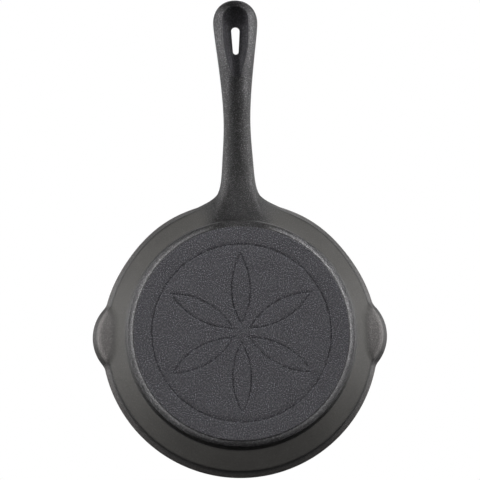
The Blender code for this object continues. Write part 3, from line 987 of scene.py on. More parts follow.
@dataclass
class BaseRosette:
    """A six-petalled rosette in a ring, drawn with compasses and cast into the base as grooves."""

    ring_radius: float = 64.0 * MM
    petal_start: float = 7.0 * MM
    petal_end: float = 57.0 * MM
    petals: int = 6
    half_width: float = 1.25 * MM
    depth: float = 0.65 * MM
    below: float = 0.5 * MM
    above: float = 0.01 * MM
    profile_reach: float = 0.84
    profile_points: int = 8
    petal_half_angle: float = math.radians(30)
    petal_overrun: float = math.radians(3)
    cut_tolerance: float = 0.1 * MERGE
    ring_steps: int = 144
    petal_steps: int = 30

    def profile(self) -> list[Vector]:
        """The cutter's cross section, a soft-shouldered groove closed below the base.

        Returns:
            Its (across, height) points.
        """
        reach = self.profile_reach
        foot = (1 + math.cos(math.pi * reach)) / 2
        points = []
        for k in range(self.profile_points + 1):
            across = reach * (2 * k / self.profile_points - 1)
            rise = (1 + math.cos(math.pi * across)) / 2
            height = (rise - foot) / (1 - foot) * self.depth - self.above
            points.append(Vector((across * self.half_width, height)))
        points.append(Vector((reach * self.half_width, -self.below)))
        points.append(Vector((-reach * self.half_width, -self.below)))
        return points

    def section(self, name: str, distance: float, turned: float = 0.0) -> bpy.types.Object:
        """Sets the cross section up as a filled outline.

        Args:
            name: The name of the cutter that it starts.
            distance: How far from the Z axis the outline stands.
            turned: The angle from +X round to it.

        Returns:
            The outline, open in edit mode and selected.
        """
        profile = self.profile()
        piece = start_disc(name, len(profile), MM, 0.0)
        shape = bmesh.from_edit_mesh(piece.data)
        turn = Matrix.Rotation(turned, 3, "Z")
        for vert, point in zip(shape.verts, profile):
            vert.co = turn @ Vector((distance + point.x, 0.0, point.y))
        bmesh.update_edit_mesh(piece.data)
        return piece

    def ring(self) -> bpy.types.Object:
        """Spins the cutter of the ring.

        Returns:
            The closed cutter.
        """
        piece = self.section("rosette_ring_cutter", self.ring_radius)
        bpy.ops.mesh.delete(type="ONLY_FACE")
        bpy.ops.mesh.select_mode(type="EDGE")
        bpy.ops.mesh.select_all(action="SELECT")
        bpy.ops.mesh.spin(
            steps=self.ring_steps, angle=math.tau, center=(0.0, 0.0, 0.0), axis=(0.0, 0.0, 1.0)
        )
        bpy.ops.mesh.select_all(action="SELECT")
        bpy.ops.mesh.remove_doubles(threshold=MERGE)
        close_up(piece)
        return piece

    def petal(self) -> bpy.types.Object:
        """Models the cutter of one petal: an arc, cut at the petal's axis and mirrored over it.

        Returns:
            The closed cutter.
        """
        chord = self.petal_end - self.petal_start
        radius = chord / 2 / math.sin(self.petal_half_angle)
        first = self.petal_half_angle + self.petal_overrun
        piece = self.section("rosette_petal_cutter", radius, first)
        bpy.ops.mesh.spin(
            steps=self.petal_steps, angle=2 * first, center=(0.0, 0.0, 0.0), axis=(0.0, 0.0, 1.0)
        )
        axis_offset = -radius * math.cos(self.petal_half_angle)
        middle = self.petal_start + chord / 2
        bpy.ops.mesh.select_all(action="SELECT")
        bpy.ops.transform.translate(value=(axis_offset, middle, 0.0))
        bpy.ops.mesh.bisect(
            plane_co=(0.0, 0.0, 0.0),
            plane_no=(1.0, 0.0, 0.0),
            clear_inner=True,
            threshold=self.cut_tolerance,
        )
        bpy.ops.mesh.select_all(action="DESELECT")
        bpy.ops.object.mode_set(mode="OBJECT")
        mirror = piece.modifiers.new("other_half", "MIRROR")
        mirror.merge_threshold = MERGE
        apply_modifier(piece, mirror)
        bpy.ops.object.mode_set(mode="EDIT")
        close_up(piece)
        return piece

    def cutter(self) -> bpy.types.Object:
        """Models the rosette's cutter: the ring and its petals, which lie clear of each other.

        Returns:
            The cutter.
        """
        ring, first = self.ring(), self.petal()
        petals = [first]
        for k in range(1, self.petals):
            petal = first.copy()
            petal.data = first.data.copy()
            petal.data.transform(Matrix.Rotation(math.tau * k / self.petals, 4, "Z"))
            bpy.context.scene.collection.objects.link(petal)
            petals.append(petal)
        for piece in (ring, *petals):
            piece.select_set(True)
        bpy.context.view_layer.objects.active = ring
        bpy.ops.object.join()
        return ring


@dataclass(frozen=True)
class Lumps:
    """A noise: the size of its lumps, and how many finer layers it has and how strong they are."""

    size: float
    detail: float
    roughness: float


class Value:
    """A number on its way through a material: Python's operators on it add Math nodes."""

    def __init__(self, graph: "Graph", socket: bpy.types.NodeSocket) -> None:
        """Wraps a socket of a graph."""
        self.graph = graph
        self.socket = socket

    def __add__(self, other: "Value | float") -> "Value":
        """Adds."""
        return self.graph.math("ADD", self, other)

    __radd__ = __add__

    def __mul__(self, other: "Value | float") -> "Value":
        """Multiplies."""
        return self.graph.math("MULTIPLY", self, other)

    __rmul__ = __mul__

    def __sub__(self, other: "Value | float") -> "Value":
        """Subtracts a value from this one."""
        return self.graph.math("SUBTRACT", self, other)

    def __rsub__(self, other: "Value | float") -> "Value":
        """Subtracts this value from a number."""
        return self.graph.math("SUBTRACT", other, self)

    def __truediv__(self, other: "Value | float") -> "Value":
        """Divides by a value."""
        return self.graph.math("DIVIDE", self, other)

    def __rtruediv__(self, other: "Value | float") -> "Value":
        """Divides a number by this value."""
        return self.graph.math("DIVIDE", other, self)

    def __pow__(self, other: "Value | float") -> "Value":
        """Raises to a power."""
        return self.graph.math("POWER", self, other)

    def __rpow__(self, other: "Value | float") -> "Value":
        """Raises a number to the power of this value."""
        return self.graph.math("POWER", other, self)

    def on(self, ramp: Ramp) -> "Value":
        """Reads a rising ramp at this value."""
        inputs = {"Value": self, "From Min": ramp.none, "From Max": ramp.full}
        return self.graph.value("ShaderNodeMapRange", {"interpolation_type": "SMOOTHSTEP"}, inputs)


class Graph:
    """A node tree that is built from expressions."""

    mix_inputs = (0, 6, 7)
    mix_output = 2

    def __init__(self, tree: bpy.types.NodeTree) -> None:
        """Empties the tree and keeps it."""
        self.tree = tree
        tree.nodes.clear()

    def node(
        self, kind: str, settings: dict | None = None, inputs: dict | None = None
    ) -> bpy.types.Node:
        """Adds a node.

        Args:
            kind: The node's type.
            settings: Its own settings.
            inputs: What goes into its sockets, by name or number: numbers, colours or links.

        Returns:
            The node.
        """
        node = self.tree.nodes.new(kind)
        for name, setting in (settings or {}).items():
            setattr(node, name, setting)
        for name, given in (inputs or {}).items():
            given = given.socket if isinstance(given, Value) else given
            if isinstance(given, bpy.types.NodeSocket):
                self.tree.links.new(given, node.inputs[name])
            else:
                node.inputs[name].default_value = given
        return node

    def value(self, kind: str, settings: dict, inputs: dict, output: int | str = 0) -> Value:
        """Adds a node and wraps one of its outputs."""
        return Value(self, self.node(kind, settings, inputs).outputs[output])

    def math(self, operation: str, *values: Value | float) -> Value:
        """Adds a Math node."""
        return self.value("ShaderNodeMath", {"operation": operation}, dict(enumerate(values)))

    def mix(self, share: Value, low: object, high: object) -> bpy.types.NodeSocket:
        """Mixes two colours by a share."""
        inputs = dict(zip(self.mix_inputs, (share, low, high)))
        return self.node("ShaderNodeMix", {"data_type": "RGBA"}, inputs).outputs[self.mix_output]

    def noise(self, place: bpy.types.NodeSocket, lumps: Lumps) -> Value:
        """Adds a noise.

        Args:
            place: The coordinates.
            lumps: What the noise is like.

        Returns:
            The noise, from 0 to 1.
        """
        inputs = {
            "Vector": place,
            "Scale": 1 / lumps.size,
            "Detail": lumps.detail,
            "Roughness": lumps.roughness,
        }
        return self.value("ShaderNodeTexNoise", {}, inputs, "Fac")

    def zone(self, name: str) -> Value:
        """Reads one of the zones that are marked on the mesh."""
        return self.value("ShaderNodeAttribute", {"attribute_name": name}, {}, "Fac")


@dataclass(frozen=True)
class Skin:
    """How the iron looks in one zone: its colour, gloss and grain."""

    colour: tuple[float, float, float]
    metallic: float
    roughness: float
    grain: float
    speckle: float


@dataclass(frozen=True)
class Grain:
    """The grain of sand-cast iron: fine relief, bright flecks, and slow changes over the pan."""

    coarse: Lumps = Lumps(0.75 * MM, 3.0, 0.55)
    fine: Lumps = Lumps(0.30 * MM, 2.0, 0.60)
    flecks: Lumps = Lumps(0.75 * MM, 1.0, 0.50)
    broad: Lumps = Lumps(14.0 * MM, 3.0, 0.50)
    pit_size: float = 0.975 * MM
    pit_softness: float = 0.5
    depth: float = 1.0 * MM
    coarse_relief: float = 0.60
    fine_relief: float = 0.25
    pit_relief: float = 0.35
    coarse_spots: float = 0.30
    fine_spots: float = 0.50
    spot_middle: float = 0.40
    fleck: Ramp = Ramp(0.54, 0.74)
    fleck_change: float = 0.28
    fleck_middle: float = 0.03
    broad_change: float = 0.25
    broad_roughness: float = 0.12


@dataclass(frozen=True)
class HandlePaintedLight:
    """Painted light on the handle's lower face: highlights beside the hollow and along the middle of
    the shank and root, and painted shade on the eye.
    """

    hollow: Teardrop
    border: Ramp = Ramp(0.5 * MM, 6.5 * MM)
    flank: Ramp = Ramp(2.5 * MM, 6.5 * MM)
    eye: Ramp = Ramp(160.0 * MM, 200.0 * MM)
    end_run: float = 7.0 * MM
    shank: Ramp = Ramp(105.0 * MM, 125.0 * MM)
    root: Ramp = Ramp(112.0 * MM, 128.0 * MM)
    root_width: Ramp = Ramp(4.0 * MM, 16.0 * MM)
    border_highlight: float = 1.05
    shank_highlight: float = 0.12
    eye_shade: float = 0.12
    root_highlight: float = 0.40

    def tone(self, graph: Graph, place: bpy.types.NodeSocket) -> Value:
        """How much lighter or darker the handle is painted at a place, by painted highlights and
        shade.

        Args:
            graph: The material's graph.
            place: The Object coordinates.

        Returns:
            The change of tone at each place.
        """
        axes = graph.node("ShaderNodeSeparateXYZ", {}, {0: place}).outputs
        across = graph.math("ABSOLUTE", Value(graph, axes["X"]))
        along = Value(graph, axes["Y"]) * -1
        end = along.on(Ramp(self.hollow.round_end - self.end_run, self.hollow.round_end))
        near = 1 - self.outside_hollow(graph, across, along).on(self.border)
        flank = across.on(self.flank)
        eye = along.on(self.eye)
        # Painted highlight on the flanks beside the hollow.
        border = near * flank * eye * (1 - end)
        # Painted highlight along the middle of the shank.
        shank = (1 - flank) * (along.on(self.shank) * (1 - eye))
        # Painted highlight along the middle of the root.
        root = (1 - along.on(self.root)) * (1 - across.on(self.root_width)) * graph.zone("handle")
        change = border * self.border_highlight + shank * self.shank_highlight
        # Painted shade darkens the eye outside the flank highlight, and the root's painted highlight
        # is added.
        change = change - eye * (1 - border) * self.eye_shade + root * self.root_highlight
        return change * (1 - graph.zone("hollow"))

    def outside_hollow(self, graph: Graph, across: Value, along: Value) -> Value:
        """How far outside the teardrop hollow's outline the places of the handle lie.

        Args:
            graph: The material's graph.
            across: The distance from the handle's middle line.
            along: The distance from the axis of the bowl.

        Returns:
            The distance at each place, which is below zero inside.
        """
        centre, tip_centre = self.hollow.centres
        wide, narrow = self.hollow.half_width, self.hollow.tip_radius
        beyond = graph.math("MAXIMUM", along - centre, 0.0)
        share = (centre - along) / (centre - tip_centre)
        share = graph.math("MINIMUM", graph.math("MAXIMUM", share, 0.0), 1.0)
        width = wide + (narrow - wide) * share + 4 * self.hollow.bulge * share * (1 - share)
        return (across**2 + beyond**2) ** 0.5 - width


@dataclass(frozen=True)
class CastIronFinish:
    """Sand-cast iron under a thin dark seasoning: matt on the pan, glossier on its handle."""

    handle_painted_light: HandlePaintedLight
    name: str = "seasoned_cast_iron"
    wall: Skin = Skin((0.092, 0.089, 0.084), 0.0, 0.60, 0.30, 1.20)
    base: Skin = Skin((0.140, 0.138, 0.153), 0.0, 0.62, 1.30, 6.50)
    rim: Skin = Skin((0.108, 0.102, 0.100), 0.42, 0.42, 0.60, 2.60)
    edge: Skin = Skin((0.084, 0.083, 0.085), 1.0, 0.41, 0.60, 3.50)
    handle: Skin = Skin((0.078, 0.077, 0.078), 0.95, 0.41, 0.54, 4.50)
    eye: Skin = Skin((0.080, 0.079, 0.081), 0.95, 0.40, 0.54, 4.50)
    # The hollow's skin is darker than the handle's: painted shade in the recess.
    hollow: Skin = Skin((0.048, 0.047, 0.051), 0.90, 0.42, 0.60, 4.00)
    inside: Skin = Skin((0.104, 0.103, 0.101), 0.30, 0.48, 0.50, 0.90)
    zones: tuple[str, ...] = ("base", "rim", "edge", "handle", "eye", "hollow", "inside")
    specular_level: float = 0.25
    grain: Grain = Grain()

    def build(self) -> bpy.types.Material:
        """Builds the material.

        Returns:
            The material, which reads Object coordinates and the mesh's zones.
        """
        material = bpy.data.materials.new(self.name)
        material.use_nodes = True
        graph = Graph(material.node_tree)
        place = graph.node("ShaderNodeTexCoord").outputs["Object"]
        grain = self.grain
        coarse = graph.noise(place, grain.coarse)
        fine = graph.noise(place, grain.fine)
        broad = graph.noise(place, grain.broad) - 0.5
        shade = self.speckled(graph, place, coarse, fine) + broad * grain.broad_change
        # Painted light: the marked highlights and shade of the bowl and the hollow's floor, and the
        # handle's painted highlights and shade, scale the colour.
        shade = shade * (1 + (graph.zone("tone") + self.handle_painted_light.tone(graph, place)))
        shader = graph.node(
            "ShaderNodeBsdfPrincipled",
            {},
            {
                "Base Color": self.coloured(graph, shade),
                "Roughness": self.blend(graph, "roughness") + broad * grain.broad_roughness,
                "Metallic": self.blend(graph, "metallic"),
                "Specular IOR Level": self.specular_level,
                "Normal": self.bumped(graph, place, coarse, fine),
            },
        )
        graph.node("ShaderNodeOutputMaterial", {}, {"Surface": shader.outputs["BSDF"]})
        return material

    def speckled(
        self, graph: Graph, place: bpy.types.NodeSocket, coarse: Value, fine: Value
    ) -> Value:
        """Speckles the iron with dark spots and bright flecks.

        Args:
            graph: The material's graph.
            place: The Object coordinates.
            coarse: The grain's coarse noise.
            fine: The grain's fine noise.

        Returns:
            The brightness at each place, about 1.
        """
        grain = self.grain
        spots = coarse * grain.coarse_spots + fine * grain.fine_spots - grain.spot_middle
        flecks = graph.noise(place, grain.flecks).on(grain.fleck) * grain.fleck_change
        return 1 + (spots + flecks - grain.fleck_middle) * self.blend(graph, "speckle")

    def bumped(
        self, graph: Graph, place: bpy.types.NodeSocket, coarse: Value, fine: Value
    ) -> bpy.types.NodeSocket:
        """Roughens the surface with the casting sand's grain.

        Args:
            graph: The material's graph.
            place: The Object coordinates.
            coarse: The grain's coarse noise.
            fine: The grain's fine noise.

        Returns:
            The socket with the new normals.
        """
        grain = self.grain
        inputs = {"Vector": place, "Scale": 1 / grain.pit_size, "Smoothness": grain.pit_softness}
        pits = graph.value("ShaderNodeTexVoronoi", {"feature": "SMOOTH_F1"}, inputs)
        relief = coarse * grain.coarse_relief + fine * grain.fine_relief - pits * grain.pit_relief
        relief = relief * self.blend(graph, "grain")
        inputs = {"Height": relief, "Distance": grain.depth, "Strength": 1.0}
        return graph.node("ShaderNodeBump", {}, inputs).outputs["Normal"]

    def coloured(self, graph: Graph, shade: Value) -> bpy.types.NodeSocket:
        """Blends the skins' colours by the zones and shades them.

        Args:
            graph: The material's graph.
            shade: The brightness at each place.

        Returns:
            The socket with the colour.
        """
        colour = (*self.wall.colour, 1.0)
        for name in self.zones:
            colour = graph.mix(graph.zone(name), colour, (*getattr(self, name).colour, 1.0))
        inputs = {0: colour, "Scale": shade}
        return graph.node("ShaderNodeVectorMath", {"operation": "SCALE"}, inputs).outputs[0]

    def blend(self, graph: Graph, quality: str) -> Value:
        """Blends one of the skins' numbers by the zones.

        Args:
            graph: The material's graph.
            quality: The number's name.

        Returns:
            The number at each place.
        """
        total = getattr(self.wall, quality)
        for name in self.zones:
            total = total + (getattr(getattr(self, name), quality) - total) * graph.zone(name)
        return total


@dataclass
class SkinMap:
    """Where each of the iron's skins lies on the pan, and where painted highlights and shade, with a
    little wear on the base's bevel, change its tone.
    """

    bowl: Bowl
    lips: PouringLips
    handle: Handle
    hollow: Teardrop
    slot: Teardrop
    bowl_limit: float = 1.1
    rim_outside: float = 2.5 * MM
    drawn: Ramp = Ramp(0.0, 0.35)
    under_handle: Ramp = Ramp(28.0 * MM, 16.0 * MM)
    base_top: float = 1.0 * MM
    base_border: Ramp = Ramp(0.1 * MM, -0.1 * MM)
    foot: Ramp = Ramp(13.0 * MM, 9.0 * MM)
    lip: Ramp = Ramp(0.0, 2.5 * MM)
    lip_rise: Ramp = Ramp(12.0 * MM, 18.0 * MM)
    band: Ramp = Ramp(31.5 * MM, 32.5 * MM)
    step: Ramp = Ramp(38.5 * MM, 37.5 * MM)
    # Share of the darker edge skin on the step: painted shade below the band.
    step_shade_share: float = 0.6
    eye: Ramp = Ramp(150.0 * MM, 195.0 * MM)
    upper_share: float = 0.6
    hollow_margin: float = 0.9 * MM
    hollow_depth: Ramp = Ramp(0.2 * MM, 0.6 * MM)
    # Painted light: highlights on the step's edge, the lips and the base's bevel (partly wear), and
    # painted shade on the lips' band, in creases, at the wall's foot, across the base and on the
    # hollow's floor.
    highlight_reach: float = 1.6 * MM
    step_highlight: float = 0.40
    lip_highlight: float = 0.35
    lip_shift: float = 4.6 * MM
    lip_edge: Ramp = Ramp(3.2 * MM, 4.7 * MM)
    lip_edge_shade: float = 0.48
    lip_crease_shade: Trace = Trace(1.2 * MM, 1.1 * MM, -0.20)
    lip_crease_shade_foot: float = 14.0 * MM
    crease_shade: Trace = Trace(0.0, 2.4 * MM, -0.45)
    bevel_highlight_and_wear: Trace = Trace(0.2 * MM, 3.6 * MM, 2.20)
    bevel_top: float = 3.0 * MM
    foot_shade: Trace = Trace(7.0 * MM, 5.0 * MM, -0.32)
    foot_start: float = 0.95
    flat_top: float = 0.1 * MM
    flat_shade: float = 0.05
    flat_shade_slant: float = 0.5
    floor_shade: float = 0.35
    floor_run: float = 4.0 * MM

    def mark(self, casting: bpy.types.Object) -> None:
        """Marks on the mesh where the finish changes, as one number a point for each zone.

        Args:
            casting: The finished casting, with the marks that it was drawn out by.
        """
        mesh = casting.data
        drawn = [point.value for point in mesh.attributes["drawn"].data]
        for old in ("turned", "share", "drawn", "start", "pull"):
            mesh.attributes.remove(mesh.attributes[old])
        shares = [self.shares(vert.co, by) for vert, by in zip(mesh.vertices, drawn)]
        for name in shares[0]:
            zone = mesh.attributes.new(name, "FLOAT", "POINT")
            zone.data.foreach_set("value", [share[name] for share in shares])

    def shares(self, place: Vector, drawn: float) -> dict[str, float]:
        """How much of each zone's finish a point has.

        Args:
            place: The point, on the finished casting.
            drawn: How far along the root's flare it was drawn: 0 on the bowl, and over 1 past it.

        Returns:
            A share from 0 to 1 for each zone, and the change of tone by painted light.
        """
        near = place.xy.length < self.bowl.rim_radius * self.bowl_limit
        swell = self.lips.swell(place) if near else 0.0
        inside = self.inner_side(place, swell)
        past = -place.y > self.handle.root_end
        under = self.under_handle.at(abs(place.x)) if place.y < 0 else 0.0
        handle = 1.0 if past else (1 - inside) * max(self.drawn.at(drawn), under)
        low = not past and place.z < self.base_top
        base = (1 - inside) * low * self.base_border.at(self.past_base(place))
        handle -= min(base, handle)
        outside = (1 - inside) * (1 - handle)
        edge = (outside - base) * self.foot.at(place.z)
        lip = self.lip.at(swell) * self.lip_rise.at(place.z)
        band = self.band.at(place.z)
        # The step takes part of the darker edge skin as painted shade.
        step = band * self.step.at(place.z) * (1 - lip) * self.step_shade_share
        rim = (outside - base - edge) * max(lip, band)
        return {
            "base": base,
            "rim": rim * (1 - step),
            "edge": edge + rim * step,
            "handle": handle,
            "eye": self.eye.at(-place.y),
            "hollow": self.sunk(place),
            # The handle's upper side takes the inside's lighter skin: painted light that lightens
            # the handle's top.
            "inside": max(inside, self.upper_side(place)),
            # The change of tone is painted light: highlights and shade.
            "tone": self.hollow_floor_shade(place) if past else self.bowl_painted_light(place, swell) * outside,
        }

    def past_base(self, place: Vector) -> float:
        """How far outside the flat of the base a point lies."""
        return place.xy.length - self.bowl.base_radius + self.bowl.bevel_width

    def inner_side(self, place: Vector, swell: float) -> float:
        """Whether a point lies on the bowl's inner side.

        Args:
            place: The point.
            swell: How far a lip has pressed it out.

        Returns:
            1 on the inner side and 0 on the outer one.
        """
        bowl = self.bowl
        lower, upper = bowl.inner_wall()
        wall = lower.x + (place.z - lower.y) * (upper.x - lower.x) / (upper.y - lower.y)
        middle = min(wall + bowl.wall_thickness / 2, bowl.rim_radius - self.rim_outside)
        within = place.xy.length - swell < middle
        return float(within and place.z > bowl.floor_thickness / 2)

    def upper_side(self, place: Vector) -> float:
        """How far a point of the handle is on its upper side.

        Args:
            place: The point.

        Returns:
            A share from 0 to 1.
        """
        along = -place.y
        if along < self.bowl.rim_radius:
            return 0.0
        along = max(along, self.handle.root_end)
        top = self.handle.face(Side.UPPER, along)
        middle = (top + self.handle.face(Side.LOWER, along)) / 2
        return smooth_step((place.z - middle) / (self.upper_share * (top - middle)))

    def bowl_painted_light(self, place: Vector, swell: float) -> float:
        """How much the bowl's tone is changed at a point by painted highlights and shade, and a
        little wear on the bevel.

        Args:
            place: The point.
            swell: How far a lip has pressed it out.

        Returns:
            The change of tone.
        """
        bowl = self.bowl
        lip = self.lip.at(swell)
        step_place = place.z - bowl.band_foot.y + self.lip_shift * lip
        # Painted highlight on the step's convex edge, wider and brighter on the lips.
        tone = hump(step_place, self.highlight_reach * (1 + lip)) * (self.step_highlight + self.lip_highlight * lip)
        # Painted shade in the concave crease under the step.
        tone += self.crease_shade.at(place.z - bowl.wall_edge.y) * (1 - lip)
        # Painted shade on the lips' outer band.
        tone -= self.lip_edge_shade * lip * self.lip_edge.at(step_place)
        if place.xy.length > self.foot_start * bowl.base_radius:
            # Painted highlight on the base's bevel, partly wear where the ring rubs.
            tone += self.bevel_highlight_and_wear.at(self.past_base(place)) * (0 < place.z < self.bevel_top)
            # Painted shade at the foot of the wall.
            tone += self.foot_shade.at(place.z)
        # Painted shade in the creases round the lips.
        if place.z > self.lip_crease_shade_foot:
            tone += self.lip_crease_shade.at(swell)
        # Painted shade across the flat of the base: darker towards +Y and +X.
        if place.z < self.flat_top:
            slant = (place.y + self.flat_shade_slant * place.x) / bowl.base_radius
            tone -= self.flat_shade * slant
        return tone

    def hollow_floor_shade(self, place: Vector) -> float:
        """How much darker the hollow's floor is painted towards its round end: painted shade in the
        recess.
        """
        share = smooth_step((-place.y - self.slot.round_end) / self.floor_run)
        return -self.floor_shade * self.sunk(place) * share

    def sunk(self, place: Vector) -> float:
        """How far a point lies in one of the eye's hollows or in its slot.

        Args:
            place: The point.

        Returns:
            A share from 0 to 1.
        """
        across, along = place.x, -place.y
        if self.hollow.outside(across, along) > self.hollow_margin:
            return 0.0
        below = place.z - self.handle.height_at(Side.LOWER, across, along)
        above = self.handle.height_at(Side.UPPER, across, along) - place.z
        return self.hollow_depth.at(min(below, above))


@dataclass
class Casting:
    """The whole pan: one iron casting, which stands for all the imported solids."""

    bowl: Bowl
    lips: PouringLips
    handle: Handle
    eye: HangingEye
    rosette: BaseRosette
    name: str = "skillet_casting"
    smoothing: int = 2
    sharp_angle: float = math.radians(38)

    def build(self) -> bpy.types.Object:
        """Models the casting, dresses it, hangs it on the root body and hides the imported solids.

        Returns:
            The finished piece.
        """
        casting = self.bowl.model(self.name)
        self.handle.draw_out(casting)
        close_up(casting)
        smooth = casting.modifiers.new("smooth", "SUBSURF")
        smooth.levels = smooth.render_levels = self.smoothing
        apply_modifier(casting, smooth)
        self.lips.press(casting)
        self.cut(casting)
        self.dress(casting)
        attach(casting, "root")
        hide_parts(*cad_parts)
        return casting

    def cut(self, casting: bpy.types.Object) -> None:
        """Cuts the hanging eye and the rosette into the casting.

        Args:
            casting: The casting.
        """
        cutters = (
            self.eye.cutter("lower_hollow_cutter", Side.LOWER),
            self.eye.cutter("upper_hollow_cutter", Side.UPPER),
            self.rosette.cutter(),
        )
        for cutter in cutters:
            modifier = casting.modifiers.new("cut", "BOOLEAN")
            modifier.object = cutter
            modifier.solver = "EXACT"
            apply_modifier(casting, modifier)
            bpy.data.objects.remove(cutter)

    def dress(self, casting: bpy.types.Object) -> None:
        """Marks the casting's zones, shades it smooth and gives it its finish.

        Args:
            casting: The casting.
        """
        hollow, slot = self.eye.shapes()
        SkinMap(self.bowl, self.lips, self.handle, hollow, slot).mark(casting)
        bpy.ops.object.select_all(action="DESELECT")
        bpy.context.view_layer.objects.active = casting
        casting.select_set(True)
        bpy.ops.object.shade_smooth_by_angle(angle=self.sharp_angle)
        casting.data.materials.clear()
        casting.data.materials.append(CastIronFinish(HandlePaintedLight(hollow)).build())


@dataclass(frozen=True)
class Softbox:
    """A square area lamp that shines at the pan."""

    name: str
    place: tuple[float, float, float]
    size: float
    power: float
    target: tuple[float, float, float] = (0.0, -0.05, 0.02)

    def build(self) -> None:
        """Hangs the lamp."""
        light = bpy.data.lights.new(self.name, "AREA")
        light.shape = "SQUARE"
        light.size = self.size
        light.energy = self.power
        lamp = bpy.data.objects.new(self.name, light)
        bpy.context.scene.collection.objects.link(lamp)
        lamp.location = self.place
        aim = Vector(self.target) - Vector(self.place)
        lamp.rotation_euler = aim.to_track_quat("-Z", "Y").to_euler()
        lamp.visible_camera = False


@dataclass(frozen=True)
class FloorFinish:
    """A pale matt floor that is seen from above only and fades out towards its edges."""

    name: str = "pale_floor"
    colour: tuple[float, float, float, float] = (0.86, 0.86, 0.86, 1.0)
    fade: Ramp = Ramp(0.5, 1.5)

    def build(self) -> bpy.types.Material:
        """Builds the material.

        Returns:
            The material, which reads Object coordinates.
        """
        material = bpy.data.materials.new(self.name)
        material.use_nodes = True
        graph = Graph(material.node_tree)
        point = graph.node("ShaderNodeTexCoord").outputs["Object"]
        away = graph.value("ShaderNodeVectorMath", {"operation": "LENGTH"}, {0: point}, "Value")
        camera = Value(graph, graph.node("ShaderNodeLightPath").outputs["Is Camera Ray"])
        behind = Value(graph, graph.node("ShaderNodeNewGeometry").outputs["Backfacing"])
        shown = camera * (1 - behind) * (1 - away.on(self.fade))
        pale = graph.node("ShaderNodeBsdfDiffuse", {}, {"Color": self.colour})
        clear = graph.node("ShaderNodeBsdfTransparent")
        inputs = {0: shown, 1: clear.outputs[0], 2: pale.outputs[0]}
        mixed = graph.node("ShaderNodeMixShader", {}, inputs)
        graph.node("ShaderNodeOutputMaterial", {}, {"Surface": mixed.outputs[0]})
        return material


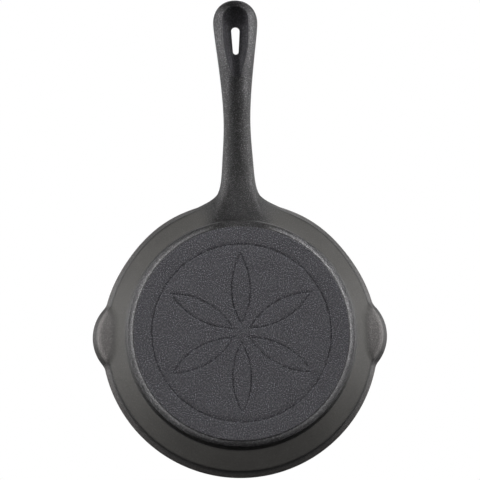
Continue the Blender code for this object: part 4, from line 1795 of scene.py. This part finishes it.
@dataclass(frozen=True)
class Studio:
    """The plain studio: camera, lamps, world and floor."""

    target: tuple[float, float, float] = (1.01 * MM, -73.45 * MM, 43.0 * MM)
    distance: float = 3.0109
    tilt: float = math.radians(8.516)
    side_tilt: float = math.radians(1.531)
    roll: float = math.radians(0.829)
    lens: float = 310.95
    sky: Ramp = Ramp(0.2, 0.7)
    sky_level: float = 0.4
    mirrored_sky: Ramp = Ramp(0.0, 0.5)
    mirrored_side: Ramp = Ramp(-0.5, 0.0)
    mirrored_level: float = 0.25
    floor: FloorFinish = FloorFinish()
    floor_drop: float = 0.5 * MM
    floor_size: float = 3.0
    lamps: tuple[Softbox, ...] = (
        Softbox("handle_right", (1.0, -0.9, -0.4), 0.6, 12.0),
        Softbox("handle_left", (-1.0, -0.9, -0.4), 0.6, 10.0),
        Softbox("far_left", (-1.0, 0.6, -0.4), 0.6, 5.4),
        Softbox("far_right", (1.0, 0.6, -0.4), 0.6, 4.1),
        Softbox("left_rear", (-1.25, -0.1, 0.35), 0.8, 4.8),
        Softbox("right_rear", (1.25, -0.1, 0.35), 0.8, 4.4),
        Softbox("left_overhead", (-1.1, -0.3, 0.9), 0.8, 3.5),
        Softbox("right_overhead", (1.1, -0.3, 0.9), 0.8, 3.6),
        Softbox("handle_overhead", (0.15, -1.2, 1.0), 0.8, 3.0),
    )

    def build(self) -> None:
        """Sets the studio up."""
        self.set_camera()
        for lamp in self.lamps:
            lamp.build()
        self.set_world()
        self.lay_floor()
        bpy.context.scene.view_settings.view_transform = "Standard"

    def set_camera(self) -> None:
        """Places the camera below the pan, as the photograph sees it."""
        forward = Vector(
            (
                math.sin(self.side_tilt),
                -math.cos(self.side_tilt) * math.sin(self.tilt),
                math.cos(self.side_tilt) * math.cos(self.tilt),
            )
        )
        right = forward.cross(Vector((0.0, -1.0, 0.0))).normalized()
        right = Matrix.Rotation(self.roll, 3, forward) @ right
        up = right.cross(forward)
        camera = bpy.data.objects.new("camera", bpy.data.cameras.new("camera"))
        bpy.context.scene.collection.objects.link(camera)
        turn = Matrix((right, up, -forward)).transposed().to_4x4()
        place = Vector(self.target) - forward * self.distance
        camera.matrix_world = Matrix.Translation(place) @ turn
        camera.data.lens = self.lens
        bpy.context.scene.camera = camera

    def set_world(self) -> None:
        """Makes the world white to the camera.

        The iron is lit by a pale sky overhead. Its gloss mirrors only the sky on the handle's side.
        """
        world = bpy.data.worlds.new("studio")
        world.use_nodes = True
        bpy.context.scene.world = world
        graph = Graph(world.node_tree)
        rays = graph.node("ShaderNodeLightPath").outputs
        way = graph.node("ShaderNodeTexCoord").outputs["Generated"]
        axes = graph.node("ShaderNodeSeparateXYZ", {}, {0: way}).outputs
        height = Value(graph, axes["Z"])
        handle_side = 1 - Value(graph, axes["Y"]).on(self.mirrored_side)
        glossy = Value(graph, rays["Is Glossy Ray"])
        lit = height.on(self.sky) * (1 - glossy) * self.sky_level
        mirrored = height.on(self.mirrored_sky) * handle_side * glossy * self.mirrored_level
        glow = graph.mix(lit + mirrored, BLACK, WHITE)
        seen = Value(graph, rays["Is Camera Ray"]) + Value(graph, rays["Is Transmission Ray"])
        inputs = {"Color": graph.mix(seen, glow, WHITE), "Strength": 1.0}
        sky = graph.node("ShaderNodeBackground", {}, inputs)
        graph.node("ShaderNodeOutputWorld", {}, {"Surface": sky.outputs[0]})

    def lay_floor(self) -> None:
        """Lays the floor just below the pan."""
        bpy.ops.object.select_all(action="DESELECT")
        place = (0.0, 0.0, -self.floor_drop)
        bpy.ops.mesh.primitive_plane_add(size=self.floor_size, location=place)
        floor = bpy.context.active_object
        floor.name = "floor"
        floor.data.materials.append(self.floor.build())


def main() -> None:
    """Builds the pan and its studio, and keeps the sizes of both models."""
    logging.basicConfig(level=logging.INFO, format="%(message)s")
    wall_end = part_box("side_wall")[1]
    lip_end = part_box("pouring_lip_right")[1].x
    handle_end = -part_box("handle_eye")[0].y
    bowl = Bowl(rim_radius=wall_end.y, rim_height=wall_end.z)
    lips = PouringLips(bowl, edge=lip_end)
    handle = Handle(bowl, end=handle_end)
    casting = Casting(bowl, lips, handle, HangingEye(handle), BaseRosette()).build()
    triangles = sum(len(face.vertices) - 2 for face in casting.data.polygons)
    log.info("%s: %d triangles", casting.name, triangles)
    Studio().build()


if __name__ == "__main__":
    main()
